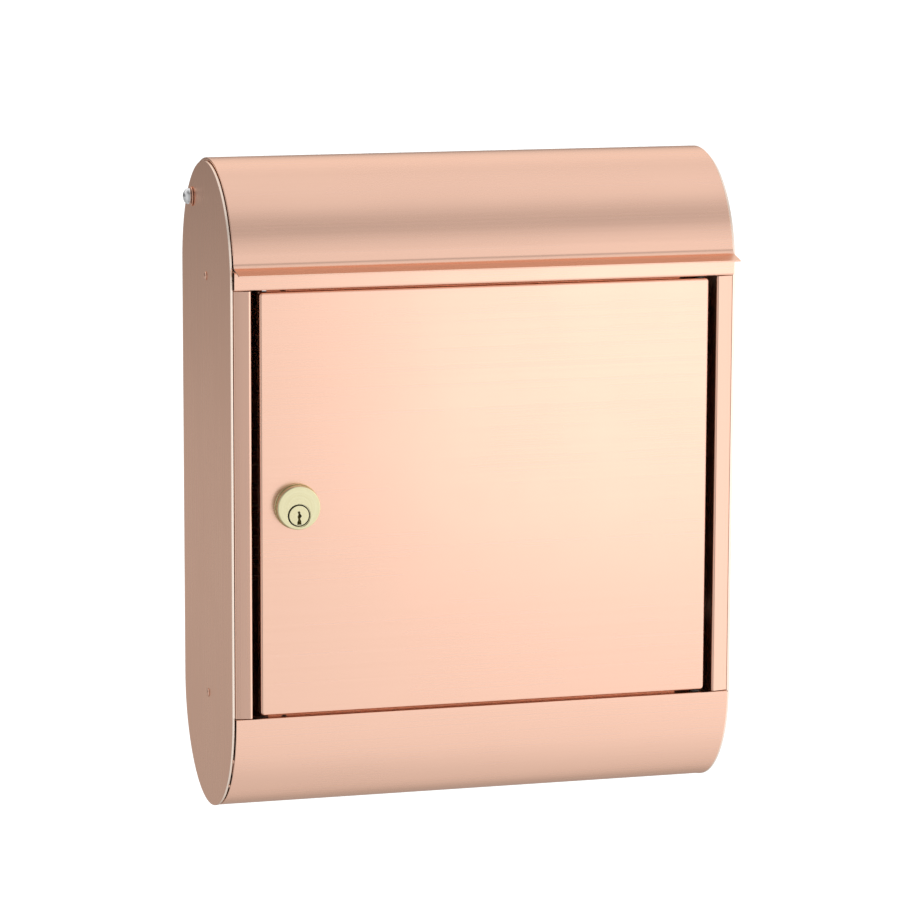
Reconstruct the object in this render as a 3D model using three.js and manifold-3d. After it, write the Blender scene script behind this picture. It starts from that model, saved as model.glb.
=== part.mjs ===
// Wall mounted mailbox in satin copper sheet: two stadium shaped side plates, a wrapped pan, a back
// panel, a lift-up curved lid on two dome head pins, and a side hung door with a cam lock.
// Millimetres. The origin is the centre of the wall face. +X is the viewer's right, +Y points into
// the wall, +Z is up, so the front faces -Y.

import * as THREE from 'three';
import { mergeVertices } from 'three/addons/utils/BufferGeometryUtils.js';
import Module from 'manifold-3d';

const wasm = await Module();
wasm.setup();

// Case
const CASE_W = 381;
const CASE_D = 163;
const CASE_H = 480;
const PLATE_T = 2;
const SHEET_T = 1;
const BEND_R = 2;
const GAP = 0.3;
const ARC_STEP = 6;

const END_R = CASE_D / 2;
const ARC_Y = -END_R;
const ARC_Z = CASE_H / 2 - END_R;
const PLATE_OUT_X = CASE_W / 2;
const PLATE_IN_X = PLATE_OUT_X - PLATE_T;
const INNER_X = PLATE_IN_X - GAP;
const FACE_Y = -166.2;

// Back panel
const BACK_FLANGE = 13;
const HOOD_X = INNER_X - 4.7;
const HOOD_FROM = 120;
const HOOD_LAP = 18;
const WALL_HOLE_R = 3.5;
const WALL_HOLE_X = 127;
const WALL_HOLE_Z = 130;

// Bottom pan
const SILL_Z = -158.1;
const SILL_BACK_Y = -155.3;
const PAN_R = 80;
const PAN_FRONT = FACE_Y + PAN_R - ARC_Y;
const PAN_LAP_Z = 20;
const PAN_LAP_X = 185;
const PAN_TAB_ANGLES = [-24, -60, -96, -132];
const PAN_TAB_SWEEP = 10;
const PAN_TAB_DEPTH = 11;
const DRAIN_R = 3;
const DRAIN_X = 120;

// Side channels: web on the plate, stile in front, jamb return beside the door
const STILE_IN_X = 175.5;
const JAMB_BACK_Y = -156;
const STOP_Y = SILL_BACK_Y;
const WEB_BACK_Y = -108;
const WEB_EAR_BACK_Y = -68;
const WEB_EAR_HALF = 10;

// Header rail
const HEADER_Z = 155;
const HEADER_TOP_Z = 169.2;
const HEADER_FOOT_Y = -166.6;
const HEADER_BROW_Y = -167;
const HEADER_BACK_Y = -150;
const HEADER_EAR_Y = -140;
const STOP_FLANGE = 9;
const STOP_FROM_X = -162;
const STOP_TO_X = 150;

// Blind rivets in the side plates
const RIVET_Y = -82;
const RIVET_Z = 156;
const RIVET_R = 2.3;
const RIVET_HEAD_R = 3.2;
const RIVET_HEAD_H = 0.8;
const RIVET_TAIL_R = 3.4;
const RIVET_TAIL_L = 3;
const RIVET_CORE_R = 0.9;

// Lid
const LID_R = 83.9;
const LID_X = INNER_X;
const LID_REAR = 128;
const LID_FRONT = 9;
const LIP_TIP = new THREE.Vector2(-182, 168);
const LIP_BEND_R = 5;
const PIVOT_Y = -36;
const PIVOT_Z = 209.5;

// Lid arms
const ARM_T = 1.5;
const ARM_X = PLATE_IN_X - 1.5;
const ARM_FROM = 14;
const ARM_TO = 112;
const ARM_IN_R = 60;
const ARM_NECK_R = 78.3;
const ARM_BOSS_R = 10;
const ARM_FLANGE = 8;

// Lid pivots
const PIN_R = 3;
const PIN_HEAD_R = 6;
const PIN_HEAD_H = 5.2;
const PIN_SEAT = 0.8;
const PIN_END_X = 180.5;
const WASHER_R = 7.2;
const WASHER_T = 0.9;
const NUT_T = 4;
const NUT_R = 5.8;

// Door
const DOOR_X = 169.7;
const DOOR_TOP_Z = 153.6;
const DOOR_FOOT_Z = -156.4;
const DOOR_FACE_Y = -165.2;
const DOOR_FLANGE = 8.4;
const DOOR_CORNER_R = 2.4;
const DOOR_EDGE_R = 1.2;
const STIFFENER_X = 20;
const STIFFENER_W = 44;
const STIFFENER_CROWN_W = 24;
const STIFFENER_D = 6.5;
const STIFFENER_END = 18;

// Door hinge pins
const HINGE_X = 163.9;
const HINGE_Y = -160.4;
const HINGE_R = 2;
const HINGE_HEAD_R = 3.6;
const HINGE_HEAD_H = 1.6;
const HINGE_REACH = 4.5;
const HINGE_WASHER_R = 4.2;

// Lock
const LOCK_X = -142.9;
const LOCK_Z = -2.4;
const LOCK_HEAD_R = 16;
const LOCK_PROUD = 9;
const LOCK_CHAMFER = 0.8;
const LOCK_BODY_R = 14.3;
const LOCK_BACK_Y = -148.8;
const COLLAR_R = 16.9;
const COLLAR_T = 2.6;
const LOCK_NUT_R = 19;
const LOCK_NUT_T = 4;
const PLUG_DROP = 5.6;
const PLUG_R = 7.35;
const PLUG_MOUTH_R = 8.8;
const PLUG_MOUTH_D = 1.2;
const PLUG_SET_BACK = 0.4;
const KEYWAY_W = 1.8;
const KEYWAY_UP = 3;
const KEYWAY_DOWN = 5.4;
const KEYWAY_D = 20;
const CHAMBER_COUNT = 5;
const CHAMBER_FIRST = 4.4;
const CHAMBER_PITCH = 3.9;
const CHAMBER_R = 1.45;
const CHAMBER_TOP = 18.4;
const TUMBLER_R = 1.15;
const DRIVER_L = 4;
const SPRING_IN_R = 0.7;

// Cam and its keeper
const CAM_T = 2;
const CAM_W = 12;
const CAM_L = 38;
const CAM_SCREW_R = 1.5;
const CAM_SCREW_L = 6;
const CAM_HEAD_R = 4;
const CAM_HEAD_H = 2.2;
const KEEPER_T = 1.5;
const KEEPER_H = 40;
const KEEPER_CLEAR = 1;
const KEEPER_EDGE_X = -174.8;
const KEEPER_FOOT = 24;
const KEEPER_RIVET_R = 1.6;
const KEEPER_RIVET_PITCH = 20;
const KEEPER_RIVET_IN = 16;
const KEEPER_RIVET_HEAD_R = 3;
const KEEPER_RIVET_HEAD_H = 1.5;

// Rubber stops
const LID_STOP_R = 4;
const LID_STOP_X = 183.5;
const LID_STOP_Y = -155;
const LID_STOP_TOP_Z = 175.5;
const DOOR_STOP_R = 3;
const DOOR_STOP_T = 0.9;
const DOOR_STOP_X = -150;
const DOOR_STOP_Z = { lower: -154.6, upper: 151.5 };

const ROUND = 16;
const SMALL_ROUND = 10;
const LOCK_ROUND = 32;

const satinCopper = new THREE.MeshStandardMaterial({ color: 0xe3b294, roughness: 0.34, metalness: 1 });
const brass = new THREE.MeshStandardMaterial({ color: 0xd9c98f, roughness: 0.28, metalness: 1 });
const brightSteel = new THREE.MeshStandardMaterial({ color: 0xd9d9dc, roughness: 0.15, metalness: 1 });
const zincSteel = new THREE.MeshStandardMaterial({ color: 0xa9adb0, roughness: 0.42, metalness: 1 });
const rubber = new THREE.MeshStandardMaterial({ color: 0x1b1a19, roughness: 0.8, metalness: 0 });
const nylon = new THREE.MeshStandardMaterial({ color: 0x2b2724, roughness: 0.5, metalness: 0 });

// A point on a circle in the Y-Z plane. 0 degrees is the front, 90 the top.
function ringPoint(radius, degrees) {
  const angle = THREE.MathUtils.degToRad(degrees);
  return new THREE.Vector2(-radius * Math.cos(angle), radius * Math.sin(angle));
}

function ringPoints(radius, from, to) {
  const count = Math.ceil(Math.abs(to - from) / ARC_STEP);
  return Array.from({ length: count + 1 }, (_, i) => ringPoint(radius, from + ((to - from) * i) / count));
}

function points(pairs) {
  return pairs.map(([u, v]) => new THREE.Vector2(u, v));
}

// Replaces each inner corner of an open path by a short arc, as a press brake bends sheet.
function bend(path, radius = BEND_R, steps = 3) {
  const bent = [path[0]];
  for (let i = 1; i < path.length - 1; i += 1) {
    const back = path[i - 1].clone().sub(path[i]).normalize();
    const ahead = path[i + 1].clone().sub(path[i]).normalize();
    const half = Math.acos(THREE.MathUtils.clamp(back.dot(ahead), -1, 1)) / 2;
    const middle = back.clone().add(ahead).normalize();
    const centre = path[i].clone().addScaledVector(middle, radius / Math.sin(half));
    const start = path[i].clone().addScaledVector(back, radius / Math.tan(half)).sub(centre);
    const turn = (Math.PI - 2 * half) * Math.sign(ahead.cross(back));
    for (let step = 0; step <= steps; step += 1) {
      const spoke = start.clone().rotateAround(new THREE.Vector2(), (turn * step) / steps);
      bent.push(spoke.add(centre));
    }
  }
  bent.push(path[path.length - 1]);
  return bent;
}

// Moves an open path to its left by the sheet's thickness, with mitred corners.
function offset(path, distance) {
  const normals = path.slice(1).map((point, i) => {
    const run = point.clone().sub(path[i]).normalize();
    return new THREE.Vector2(-run.y, run.x);
  });
  return path.map((point, i) => {
    const before = normals[Math.max(i - 1, 0)];
    const after = normals[Math.min(i, normals.length - 1)];
    const mitre = before.clone().add(after).multiplyScalar(distance / (1 + before.dot(after)));
    return point.clone().add(mitre);
  });
}

function sheetShape(path, thickness = SHEET_T) {
  return new THREE.Shape([...path, ...offset(path, thickness).reverse()]);
}

function rectangle(width, height, radius) {
  const shape = new THREE.Shape();
  const [u, v] = [width / 2, height / 2];
  shape.absarc(u - radius, v - radius, radius, 0, Math.PI / 2, false);
  shape.absarc(radius - u, v - radius, radius, Math.PI / 2, Math.PI, false);
  shape.absarc(radius - u, radius - v, radius, Math.PI, 1.5 * Math.PI, false);
  shape.absarc(u - radius, radius - v, radius, 1.5 * Math.PI, 2 * Math.PI, false);
  return shape;
}

function extrude(shape, depth, options = {}) {
  const flat = { depth, bevelEnabled: false, curveSegments: 3 };
  return new THREE.ExtrudeGeometry(shape, { ...flat, ...options });
}

// A Y-Z outline extruded from one X to another.
function alongX(shape, from, to) {
  const axes = new THREE.Matrix4().makeBasis(
    new THREE.Vector3(0, 1, 0),
    new THREE.Vector3(0, 0, 1),
    new THREE.Vector3(1, 0, 0),
  );
  return extrude(shape, to - from).applyMatrix4(axes).translate(from, 0, 0);
}

// An X-Z outline extruded from one Y to another.
function alongY(shape, from, to, options) {
  return extrude(shape, to - from, options).rotateX(Math.PI / 2).translate(0, to, 0);
}

// An X-Y outline extruded from one Z to another.
function alongZ(shape, from, to) {
  return extrude(shape, to - from).translate(0, 0, from);
}

function box(fromX, toX, fromY, toY, fromZ, toZ) {
  const block = new THREE.BoxGeometry(toX - fromX, toY - fromY, toZ - fromZ);
  return block.translate((fromX + toX) / 2, (fromY + toY) / 2, (fromZ + toZ) / 2);
}

function rodX(radius, from, to, y, z, sides = ROUND) {
  const rod = new THREE.CylinderGeometry(radius, radius, to - from, sides).rotateZ(-Math.PI / 2);
  return rod.translate((from + to) / 2, y, z);
}

function rodY(radius, from, to, x, z, sides = ROUND) {
  return new THREE.CylinderGeometry(radius, radius, to - from, sides).translate(x, (from + to) / 2, z);
}

function rodZ(radius, from, to, x, y, sides = ROUND) {
  const rod = new THREE.CylinderGeometry(radius, radius, to - from, sides).rotateX(Math.PI / 2);
  return rod.translate(x, y, (from + to) / 2);
}

// Turned pieces: pairs of radius and height along the piece's own Y axis, wound so faces point out.
function turned(pairs, sides = ROUND) {
  const profile = points(pairs);
  return new THREE.LatheGeometry(THREE.ShapeUtils.isClockWise(profile) ? profile.reverse() : profile, sides);
}

function ring(inner, outer, height, sides = ROUND) {
  return turned([[inner, 0], [outer, 0], [outer, height], [inner, height], [inner, 0]], sides);
}

function solid(geometry) {
  const bare = geometry.clone();
  bare.deleteAttribute('normal');
  bare.deleteAttribute('uv');
  const merged = mergeVertices(bare, 1e-4);
  return new wasm.Manifold(new wasm.Mesh({
    numProp: 3,
    vertProperties: new Float32Array(merged.attributes.position.array),
    triVerts: new Uint32Array(merged.index.array),
  }));
}

function combine(base, joined, cut = []) {
  let result = solid(base);
  for (const piece of joined) {
    result = result.add(solid(piece));
  }
  for (const piece of cut) {
    result = result.subtract(solid(piece));
  }
  const mesh = result.getMesh();
  const geometry = new THREE.BufferGeometry();
  geometry.setAttribute('position', new THREE.BufferAttribute(mesh.vertProperties, 3));
  geometry.setIndex(new THREE.BufferAttribute(mesh.triVerts, 1));
  geometry.computeVertexNormals();
  return geometry;
}

function part(parent, name, geometry, material) {
  const mesh = new THREE.Mesh(geometry, material);
  mesh.name = name;
  parent.add(mesh);
  return mesh;
}

const mailbox = new THREE.Group();
const lid = new THREE.Group();
lid.position.set(0, PIVOT_Y, PIVOT_Z);
const door = new THREE.Group();
door.position.set(HINGE_X, HINGE_Y, 0);
const lock = new THREE.Group();
lock.position.set(LOCK_X - HINGE_X, DOOR_FACE_Y - HINGE_Y, LOCK_Z);
door.add(lock);
const plug = new THREE.Group();
plug.position.set(0, 0, -PLUG_DROP);
lock.add(plug);
mailbox.add(lid, door);

const SIDES = [['left', -1], ['right', 1]];
const LEVELS = [['lower', -1], ['upper', 1]];

// Side plates: flat stadium blanks, drilled for the lid pins and the channel rivets.
const plateOutline = new THREE.Shape([
  ...ringPoints(END_R, 0, 180).map((p) => p.add(new THREE.Vector2(ARC_Y, ARC_Z))),
  ...ringPoints(END_R, 180, 360).map((p) => p.add(new THREE.Vector2(ARC_Y, -ARC_Z))),
]);
for (const [side, sign] of SIDES) {
  const [from, to] = [sign * PLATE_IN_X, sign * PLATE_OUT_X].sort((a, b) => a - b);
  const through = [from - 1, to + 1];
  part(mailbox, `${side}_side_plate`, combine(alongX(plateOutline, from, to), [], [
    rodX(PIN_R + GAP, ...through, PIVOT_Y, PIVOT_Z),
    rodX(RIVET_R + GAP, ...through, RIVET_Y, RIVET_Z),
    rodX(RIVET_R + GAP, ...through, RIVET_Y, -RIVET_Z),
  ]), satinCopper);
}

// Back panel: a shallow tray between the plates whose top curls forward under the lid's rear edge.
const backTray = sheetShape(bend(points([
  [INNER_X, -BACK_FLANGE],
  [INNER_X, 0],
  [-INNER_X, 0],
  [-INNER_X, -BACK_FLANGE],
])));
const hood = sheetShape([
  new THREE.Vector2(0, ARC_Z - HOOD_LAP),
  ...ringPoints(END_R, 180, HOOD_FROM).map((p) => p.add(new THREE.Vector2(ARC_Y, ARC_Z))),
]);
const wallHoles = [-WALL_HOLE_X, WALL_HOLE_X].flatMap((x) => [-WALL_HOLE_Z, WALL_HOLE_Z].map(
  (z) => rodY(WALL_HOLE_R, -SHEET_T - 1, 1, x, z),
));
part(mailbox, 'back_panel', combine(
  alongZ(backTray, -ARC_Z, ARC_Z),
  [alongX(hood, -HOOD_X, HOOD_X)],
  wallHoles,
), satinCopper);

// Bottom pan: sill, wrapped belly and a lap up inside the back panel, with tabs spot welded to the plates.
// Its front quarter is rolled about a centre further forward, so it stands a little proud of the plates.
const panPoints = (radius, from, to) => ringPoints(radius, from, to).map(
  (point) => (from < -90 ? point : point.add(new THREE.Vector2(PAN_FRONT, 0))),
);
const panPath = [
  ...bend([
    new THREE.Vector2(SILL_BACK_Y - ARC_Y, SILL_Z + ARC_Z),
    new THREE.Vector2(FACE_Y - ARC_Y, SILL_Z + ARC_Z),
    ringPoint(PAN_R, -ARC_STEP).add(new THREE.Vector2(PAN_FRONT, 0)),
  ]),
  ...panPoints(PAN_R, -2 * ARC_STEP, -90),
  ...ringPoints(PAN_R, -90, -180),
  new THREE.Vector2(PAN_R, PAN_LAP_Z),
];
const panTabs = SIDES.flatMap(([, sign]) => PAN_TAB_ANGLES.map((angle) => {
  const tab = new THREE.Shape([
    ...panPoints(PAN_R - SHEET_T / 2, angle, angle - PAN_TAB_SWEEP),
    ...panPoints(PAN_R - PAN_TAB_DEPTH, angle, angle - PAN_TAB_SWEEP).reverse(),
  ]);
  const [from, to] = [sign * (INNER_X - SHEET_T), sign * INNER_X].sort((a, b) => a - b);
  return alongX(tab, from, to);
}));
const sillStop = box(
  STOP_FROM_X, STOP_TO_X,
  STOP_Y - ARC_Y, STOP_Y + SHEET_T - ARC_Y,
  SILL_Z - SHEET_T + ARC_Z, SILL_Z + STOP_FLANGE + ARC_Z,
);
const lapEnds = SIDES.map(([, sign]) => {
  const [from, to] = [sign * PAN_LAP_X, sign * (INNER_X + 1)].sort((a, b) => a - b);
  return box(from, to, PAN_R - BACK_FLANGE - 1, PAN_R + 1, -GAP, PAN_LAP_Z + 1);
});
const drains = [-DRAIN_X, DRAIN_X].map((x) => rodZ(DRAIN_R, -PAN_R - 1, 2 - PAN_R, x, 0));
const sillPinHole = rodZ(
  HINGE_R + GAP,
  SILL_Z + ARC_Z - 3,
  SILL_Z + ARC_Z + 1,
  HINGE_X,
  HINGE_Y - ARC_Y,
);
part(mailbox, 'bottom_pan', combine(
  alongX(sheetShape(panPath), -INNER_X, INNER_X),
  [sillStop, ...panTabs],
  [...drains, ...lapEnds, sillPinHole],
), satinCopper).position.set(0, ARC_Y, -ARC_Z);

// Side channels: each web is riveted to its plate, and its stile turns back beside the door.
const stileTop = HEADER_Z - GAP;
const stileFoot = SILL_Z + GAP;
for (const [side, sign] of SIDES) {
  const plan = points([
    [INNER_X, WEB_BACK_Y],
    [INNER_X, FACE_Y],
    [STILE_IN_X, FACE_Y],
    [STILE_IN_X, JAMB_BACK_Y],
  ].map(([x, y]) => [sign * x, y]));
  const channel = alongZ(sheetShape(bend(sign < 0 ? plan : plan.reverse())), stileFoot, stileTop);
  const [from, to] = [sign * (INNER_X - SHEET_T), sign * INNER_X].sort((a, b) => a - b);
  const webHeight = RIVET_Z + WEB_EAR_HALF;
  const web = box(from, to, WEB_BACK_Y - 1, WEB_EAR_BACK_Y, -webHeight, webHeight);
  const holes = [-RIVET_Z, RIVET_Z].map((z) => rodX(RIVET_R + GAP, from - 1, to + 1, RIVET_Y, z));
  if (sign < 0) {
    for (const step of [-0.5, 0.5]) {
      const z = LOCK_Z + step * KEEPER_RIVET_PITCH;
      const y = LOCK_BACK_Y + KEEPER_RIVET_IN;
      holes.push(rodX(KEEPER_RIVET_R + GAP, from - 1, to + 1, y, z, SMALL_ROUND));
    }
  }
  part(mailbox, `${side}_side_channel`, combine(channel, [web], holes), satinCopper);
}

// Header rail: the narrow strip under the lip, with ears welded to the plates and a door stop behind.
const headerShape = sheetShape(bend(points([
  [HEADER_BACK_Y, HEADER_TOP_Z],
  [HEADER_BROW_Y, HEADER_TOP_Z],
  [HEADER_FOOT_Y, HEADER_Z],
  [STOP_Y + SHEET_T, HEADER_Z],
])));
const headerEars = SIDES.map(([, sign]) => {
  const [from, to] = [sign * (INNER_X - SHEET_T), sign * INNER_X].sort((a, b) => a - b);
  return box(from, to, HEADER_BACK_Y - 8, HEADER_EAR_Y, HEADER_Z + SHEET_T / 2, HEADER_TOP_Z - SHEET_T / 2);
});
part(mailbox, 'header_rail', combine(
  alongX(headerShape, -INNER_X, INNER_X),
  [
    ...headerEars,
    box(STOP_FROM_X, STOP_TO_X, STOP_Y, STOP_Y + SHEET_T, HEADER_Z - STOP_FLANGE, HEADER_Z + SHEET_T),
  ],
  [rodZ(HINGE_R + GAP, HEADER_Z - 1, HEADER_Z + 3, HINGE_X, HINGE_Y)],
), satinCopper);

// Blind rivets through plate and channel web, hollow from the outside.
const rivetProfile = [
  [0, -PLATE_T],
  [RIVET_CORE_R, -PLATE_T],
  [RIVET_CORE_R, RIVET_HEAD_H + GAP],
  [RIVET_HEAD_R - 1.2, RIVET_HEAD_H + GAP],
  [RIVET_HEAD_R - 0.3, RIVET_HEAD_H - 0.1],
  [RIVET_HEAD_R, GAP],
  [RIVET_R, GAP],
  [RIVET_R, -PLATE_T - SHEET_T - 2 * GAP],
  [RIVET_TAIL_R, -PLATE_T - SHEET_T - 2 * GAP - 0.5],
  [RIVET_TAIL_R, -PLATE_T - SHEET_T - RIVET_TAIL_L],
  [0, -PLATE_T - SHEET_T - RIVET_TAIL_L - 1],
];
for (const [side, sign] of SIDES) {
  for (const [level, up] of LEVELS) {
    const rivet = part(mailbox, `${side}_${level}_rivet`, turned(rivetProfile, SMALL_ROUND), satinCopper);
    rivet.position.set(sign * PLATE_OUT_X, RIVET_Y, up * RIVET_Z);
    rivet.rotation.z = (-sign * Math.PI) / 2;
  }
}

// Lid: a rolled sheet between the plates' rims, flicked forward into a lip.
const lipTip = LIP_TIP.clone().sub(new THREE.Vector2(ARC_Y, ARC_Z));
const lipPath = [ringPoint(LID_R, LID_FRONT + ARC_STEP), ringPoint(LID_R, LID_FRONT), lipTip];
const lidPath = [
  ...ringPoints(LID_R, LID_REAR, LID_FRONT + ARC_STEP),
  ...bend(lipPath, LIP_BEND_R, 5).slice(1),
];
part(lid, 'lid_shell', alongX(sheetShape(lidPath), -LID_X, LID_X), satinCopper)
  .position.set(0, ARC_Y - PIVOT_Y, ARC_Z - PIVOT_Z);

// Lid arms: flanged cheeks welded under the lid, running just inside the side plates.
const armR = LID_R - SHEET_T - GAP;
const armWeb = new THREE.Shape([
  ...ringPoints(armR, ARM_FROM, ARM_TO),
  ...ringPoints(ARM_NECK_R, ARM_TO, LID_REAR + 4),
  ...ringPoints(ARM_IN_R, LID_REAR + 4, ARM_FROM),
]);
const armFlange = new THREE.Shape([
  ...ringPoints(armR, ARM_FROM, ARM_TO),
  ...ringPoints(armR - ARM_T, ARM_TO, ARM_FROM),
]);
for (const [side, sign] of SIDES) {
  const [from, to] = [sign * (ARM_X - ARM_T), sign * ARM_X].sort((a, b) => a - b);
  const [flangeFrom, flangeTo] = [sign * (ARM_X - ARM_FLANGE), sign * ARM_X].sort((a, b) => a - b);
  const [bossY, bossZ] = [PIVOT_Y - ARC_Y, PIVOT_Z - ARC_Z];
  part(lid, `${side}_lid_arm`, combine(
    alongX(armWeb, from, to),
    [alongX(armFlange, flangeFrom, flangeTo), rodX(ARM_BOSS_R, from, to, bossY, bossZ)],
    [rodX(PIN_R + GAP, from - 1, to + 1, bossY, bossZ)],
  ), satinCopper).position.set(0, ARC_Y - PIVOT_Y, ARC_Z - PIVOT_Z);
}

// Lid pivots: dome head pin, copper washer outside, nylon spacer and nut inside.
const pinSeatX = PLATE_OUT_X + WASHER_T + 2 * GAP;
const pinProfile = [
  [0, PIN_END_X - pinSeatX],
  [PIN_R, PIN_END_X - pinSeatX],
  [PIN_R, 0],
  [PIN_HEAD_R, 0],
  [PIN_HEAD_R, PIN_SEAT],
];
for (const angle of [18, 36, 54, 72, 90]) {
  const turn = THREE.MathUtils.degToRad(angle);
  const radius = angle === 90 ? 0 : PIN_HEAD_R * Math.cos(turn);
  pinProfile.push([radius, PIN_SEAT + (PIN_HEAD_H - PIN_SEAT) * Math.sin(turn)]);
}
const nutGeometry = ring(PIN_R + GAP, NUT_R, NUT_T, 6);
const nutHole = rodY(PIN_R + GAP, -1, NUT_T + 1, 0, 0);
for (const [side, sign] of SIDES) {
  const pieces = [
    ['pivot_pin', turned(pinProfile), brightSteel, pinSeatX],
    ['pivot_washer', ring(PIN_R + GAP, WASHER_R, WASHER_T), satinCopper, PLATE_OUT_X + GAP],
    ['pivot_spacer', ring(PIN_R + GAP, WASHER_R, WASHER_T), nylon, ARM_X + GAP],
    [
      'pivot_nut',
      combine(new THREE.CylinderGeometry(NUT_R, NUT_R, NUT_T, 6).translate(0, NUT_T / 2, 0), [], [nutHole]),
      zincSteel,
      ARM_X - ARM_T - GAP - NUT_T,
    ],
  ];
  for (const [name, geometry, material, x] of pieces) {
    const piece = part(mailbox, `${side}_${name}`, geometry, material);
    piece.position.set(sign * x, PIVOT_Y, PIVOT_Z);
    piece.rotation.z = (-sign * Math.PI) / 2;
  }
}

// Door: a folded pan with a hat section stiffener behind its face.
const doorHeight = DOOR_TOP_Z - DOOR_FOOT_Z;
const doorMiddleZ = (DOOR_TOP_Z + DOOR_FOOT_Z) / 2;
const doorBlank = alongY(
  rectangle(2 * (DOOR_X - DOOR_EDGE_R), doorHeight - 2 * DOOR_EDGE_R, DOOR_CORNER_R - DOOR_EDGE_R),
  DOOR_FACE_Y + DOOR_EDGE_R,
  DOOR_FACE_Y + 3 * DOOR_FLANGE,
  { bevelEnabled: true, bevelThickness: DOOR_EDGE_R, bevelSize: DOOR_EDGE_R, bevelSegments: 2 },
).translate(0, 0, doorMiddleZ);
const doorHollow = alongY(
  rectangle(2 * (DOOR_X - SHEET_T), doorHeight - 2 * SHEET_T, DOOR_CORNER_R - SHEET_T),
  DOOR_FACE_Y + SHEET_T,
  DOOR_FACE_Y + 4 * DOOR_FLANGE,
).translate(0, 0, doorMiddleZ);
const doorTrim = box(
  -DOOR_X - 1, DOOR_X + 1,
  DOOR_FACE_Y + DOOR_FLANGE, DOOR_FACE_Y + 4 * DOOR_FLANGE,
  DOOR_FOOT_Z - 1, DOOR_TOP_Z + 1,
);
part(door, 'door_panel', combine(doorBlank, [], [
  doorTrim,
  doorHollow,
  rodY(LOCK_BODY_R + GAP, DOOR_FACE_Y - 1, DOOR_FACE_Y + 3, LOCK_X, LOCK_Z, LOCK_ROUND),
  rodZ(HINGE_R + GAP, DOOR_FOOT_Z - 1, DOOR_FOOT_Z + 3, HINGE_X, HINGE_Y),
  rodZ(HINGE_R + GAP, DOOR_TOP_Z - 3, DOOR_TOP_Z + 1, HINGE_X, HINGE_Y),
]), satinCopper).position.set(-HINGE_X, -HINGE_Y, 0);

const hatPath = bend(points([
  [STIFFENER_W / 2, 0],
  [STIFFENER_CROWN_W / 2 + 2, 0],
  [STIFFENER_CROWN_W / 2, STIFFENER_D],
  [-STIFFENER_CROWN_W / 2, STIFFENER_D],
  [-STIFFENER_CROWN_W / 2 - 2, 0],
  [-STIFFENER_W / 2, 0],
]), 1.2, 2);
part(
  door,
  'door_stiffener',
  alongZ(sheetShape(hatPath, 0.8), DOOR_FOOT_Z + STIFFENER_END, DOOR_TOP_Z - STIFFENER_END),
  zincSteel,
).position.set(STIFFENER_X - HINGE_X, DOOR_FACE_Y + SHEET_T + GAP + 0.8 - HINGE_Y, 0);

// Door hinge pins: headed pins through header and sill into the door's flanges, on nylon washers.
for (const [level, up] of LEVELS) {
  const seatZ = up > 0 ? HEADER_Z + SHEET_T + GAP : SILL_Z - SHEET_T - GAP;
  const edgeZ = up > 0 ? DOOR_TOP_Z : DOOR_FOOT_Z;
  const reach = Math.abs(seatZ - edgeZ) + HINGE_REACH;
  const pin = part(mailbox, `${level}_hinge_pin`, turned([
    [0, -reach],
    [HINGE_R, -reach],
    [HINGE_R, 0],
    [HINGE_HEAD_R, 0],
    [HINGE_HEAD_R - 0.6, HINGE_HEAD_H],
    [0, HINGE_HEAD_H],
  ], ROUND), zincSteel);
  pin.position.set(HINGE_X, HINGE_Y, seatZ);
  pin.rotation.x = (up * Math.PI) / 2;

  const faceZ = up > 0 ? HEADER_Z : SILL_Z;
  const washerT = Math.abs(faceZ - edgeZ) - 2 * GAP;
  const washer = ring(HINGE_R + GAP, HINGE_WASHER_R, washerT);
  const seat = part(mailbox, `${level}_hinge_washer`, washer, nylon);
  seat.position.set(HINGE_X, HINGE_Y, edgeZ + up * GAP);
  seat.rotation.x = (up * Math.PI) / 2;
}

// Lock cylinder: brass head and body, bored off centre for the plug, with five tumbler chambers.
const bodyL = LOCK_BACK_Y - DOOR_FACE_Y;
const cylinderProfile = [
  [0, bodyL],
  [LOCK_BODY_R, bodyL],
  [LOCK_BODY_R, -GAP],
  [LOCK_HEAD_R, -GAP],
  [LOCK_HEAD_R, LOCK_CHAMFER - LOCK_PROUD],
  [LOCK_HEAD_R - LOCK_CHAMFER, -LOCK_PROUD],
  [0, -LOCK_PROUD],
];
const chambers = Array.from({ length: CHAMBER_COUNT }, (_, i) => (
  CHAMBER_FIRST - LOCK_PROUD + i * CHAMBER_PITCH
));
const shearZ = PLUG_R + GAP - PLUG_DROP;
part(lock, 'lock_cylinder', combine(turned(cylinderProfile, LOCK_ROUND), [], [
  rodY(PLUG_R + GAP, -LOCK_PROUD - 1, bodyL + 1, 0, -PLUG_DROP),
  rodY(PLUG_MOUTH_R, -LOCK_PROUD - 1, PLUG_MOUTH_D - LOCK_PROUD, 0, -PLUG_DROP, LOCK_ROUND),
  ...chambers.map((y) => rodZ(CHAMBER_R, 0, CHAMBER_TOP - PLUG_DROP, 0, y, SMALL_ROUND)),
]), brass);

const collarGeometry = turned([
  [LOCK_HEAD_R + GAP, 0],
  [LOCK_HEAD_R + GAP, -COLLAR_T],
  [LOCK_HEAD_R + 0.6, -COLLAR_T],
  [COLLAR_R, 0.8 - COLLAR_T],
  [COLLAR_R, 0],
  [LOCK_HEAD_R + GAP, 0],
], LOCK_ROUND);
part(lock, 'lock_collar', collarGeometry, brass).position.y = -GAP;

const lockNut = new THREE.CylinderGeometry(LOCK_NUT_R, LOCK_NUT_R, LOCK_NUT_T, 6);
part(lock, 'lock_nut', combine(lockNut, [], [
  rodY(LOCK_BODY_R + GAP, -LOCK_NUT_T, LOCK_NUT_T, 0, 0, LOCK_ROUND),
]), zincSteel).position.y = SHEET_T + GAP + LOCK_NUT_T / 2;

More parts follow.
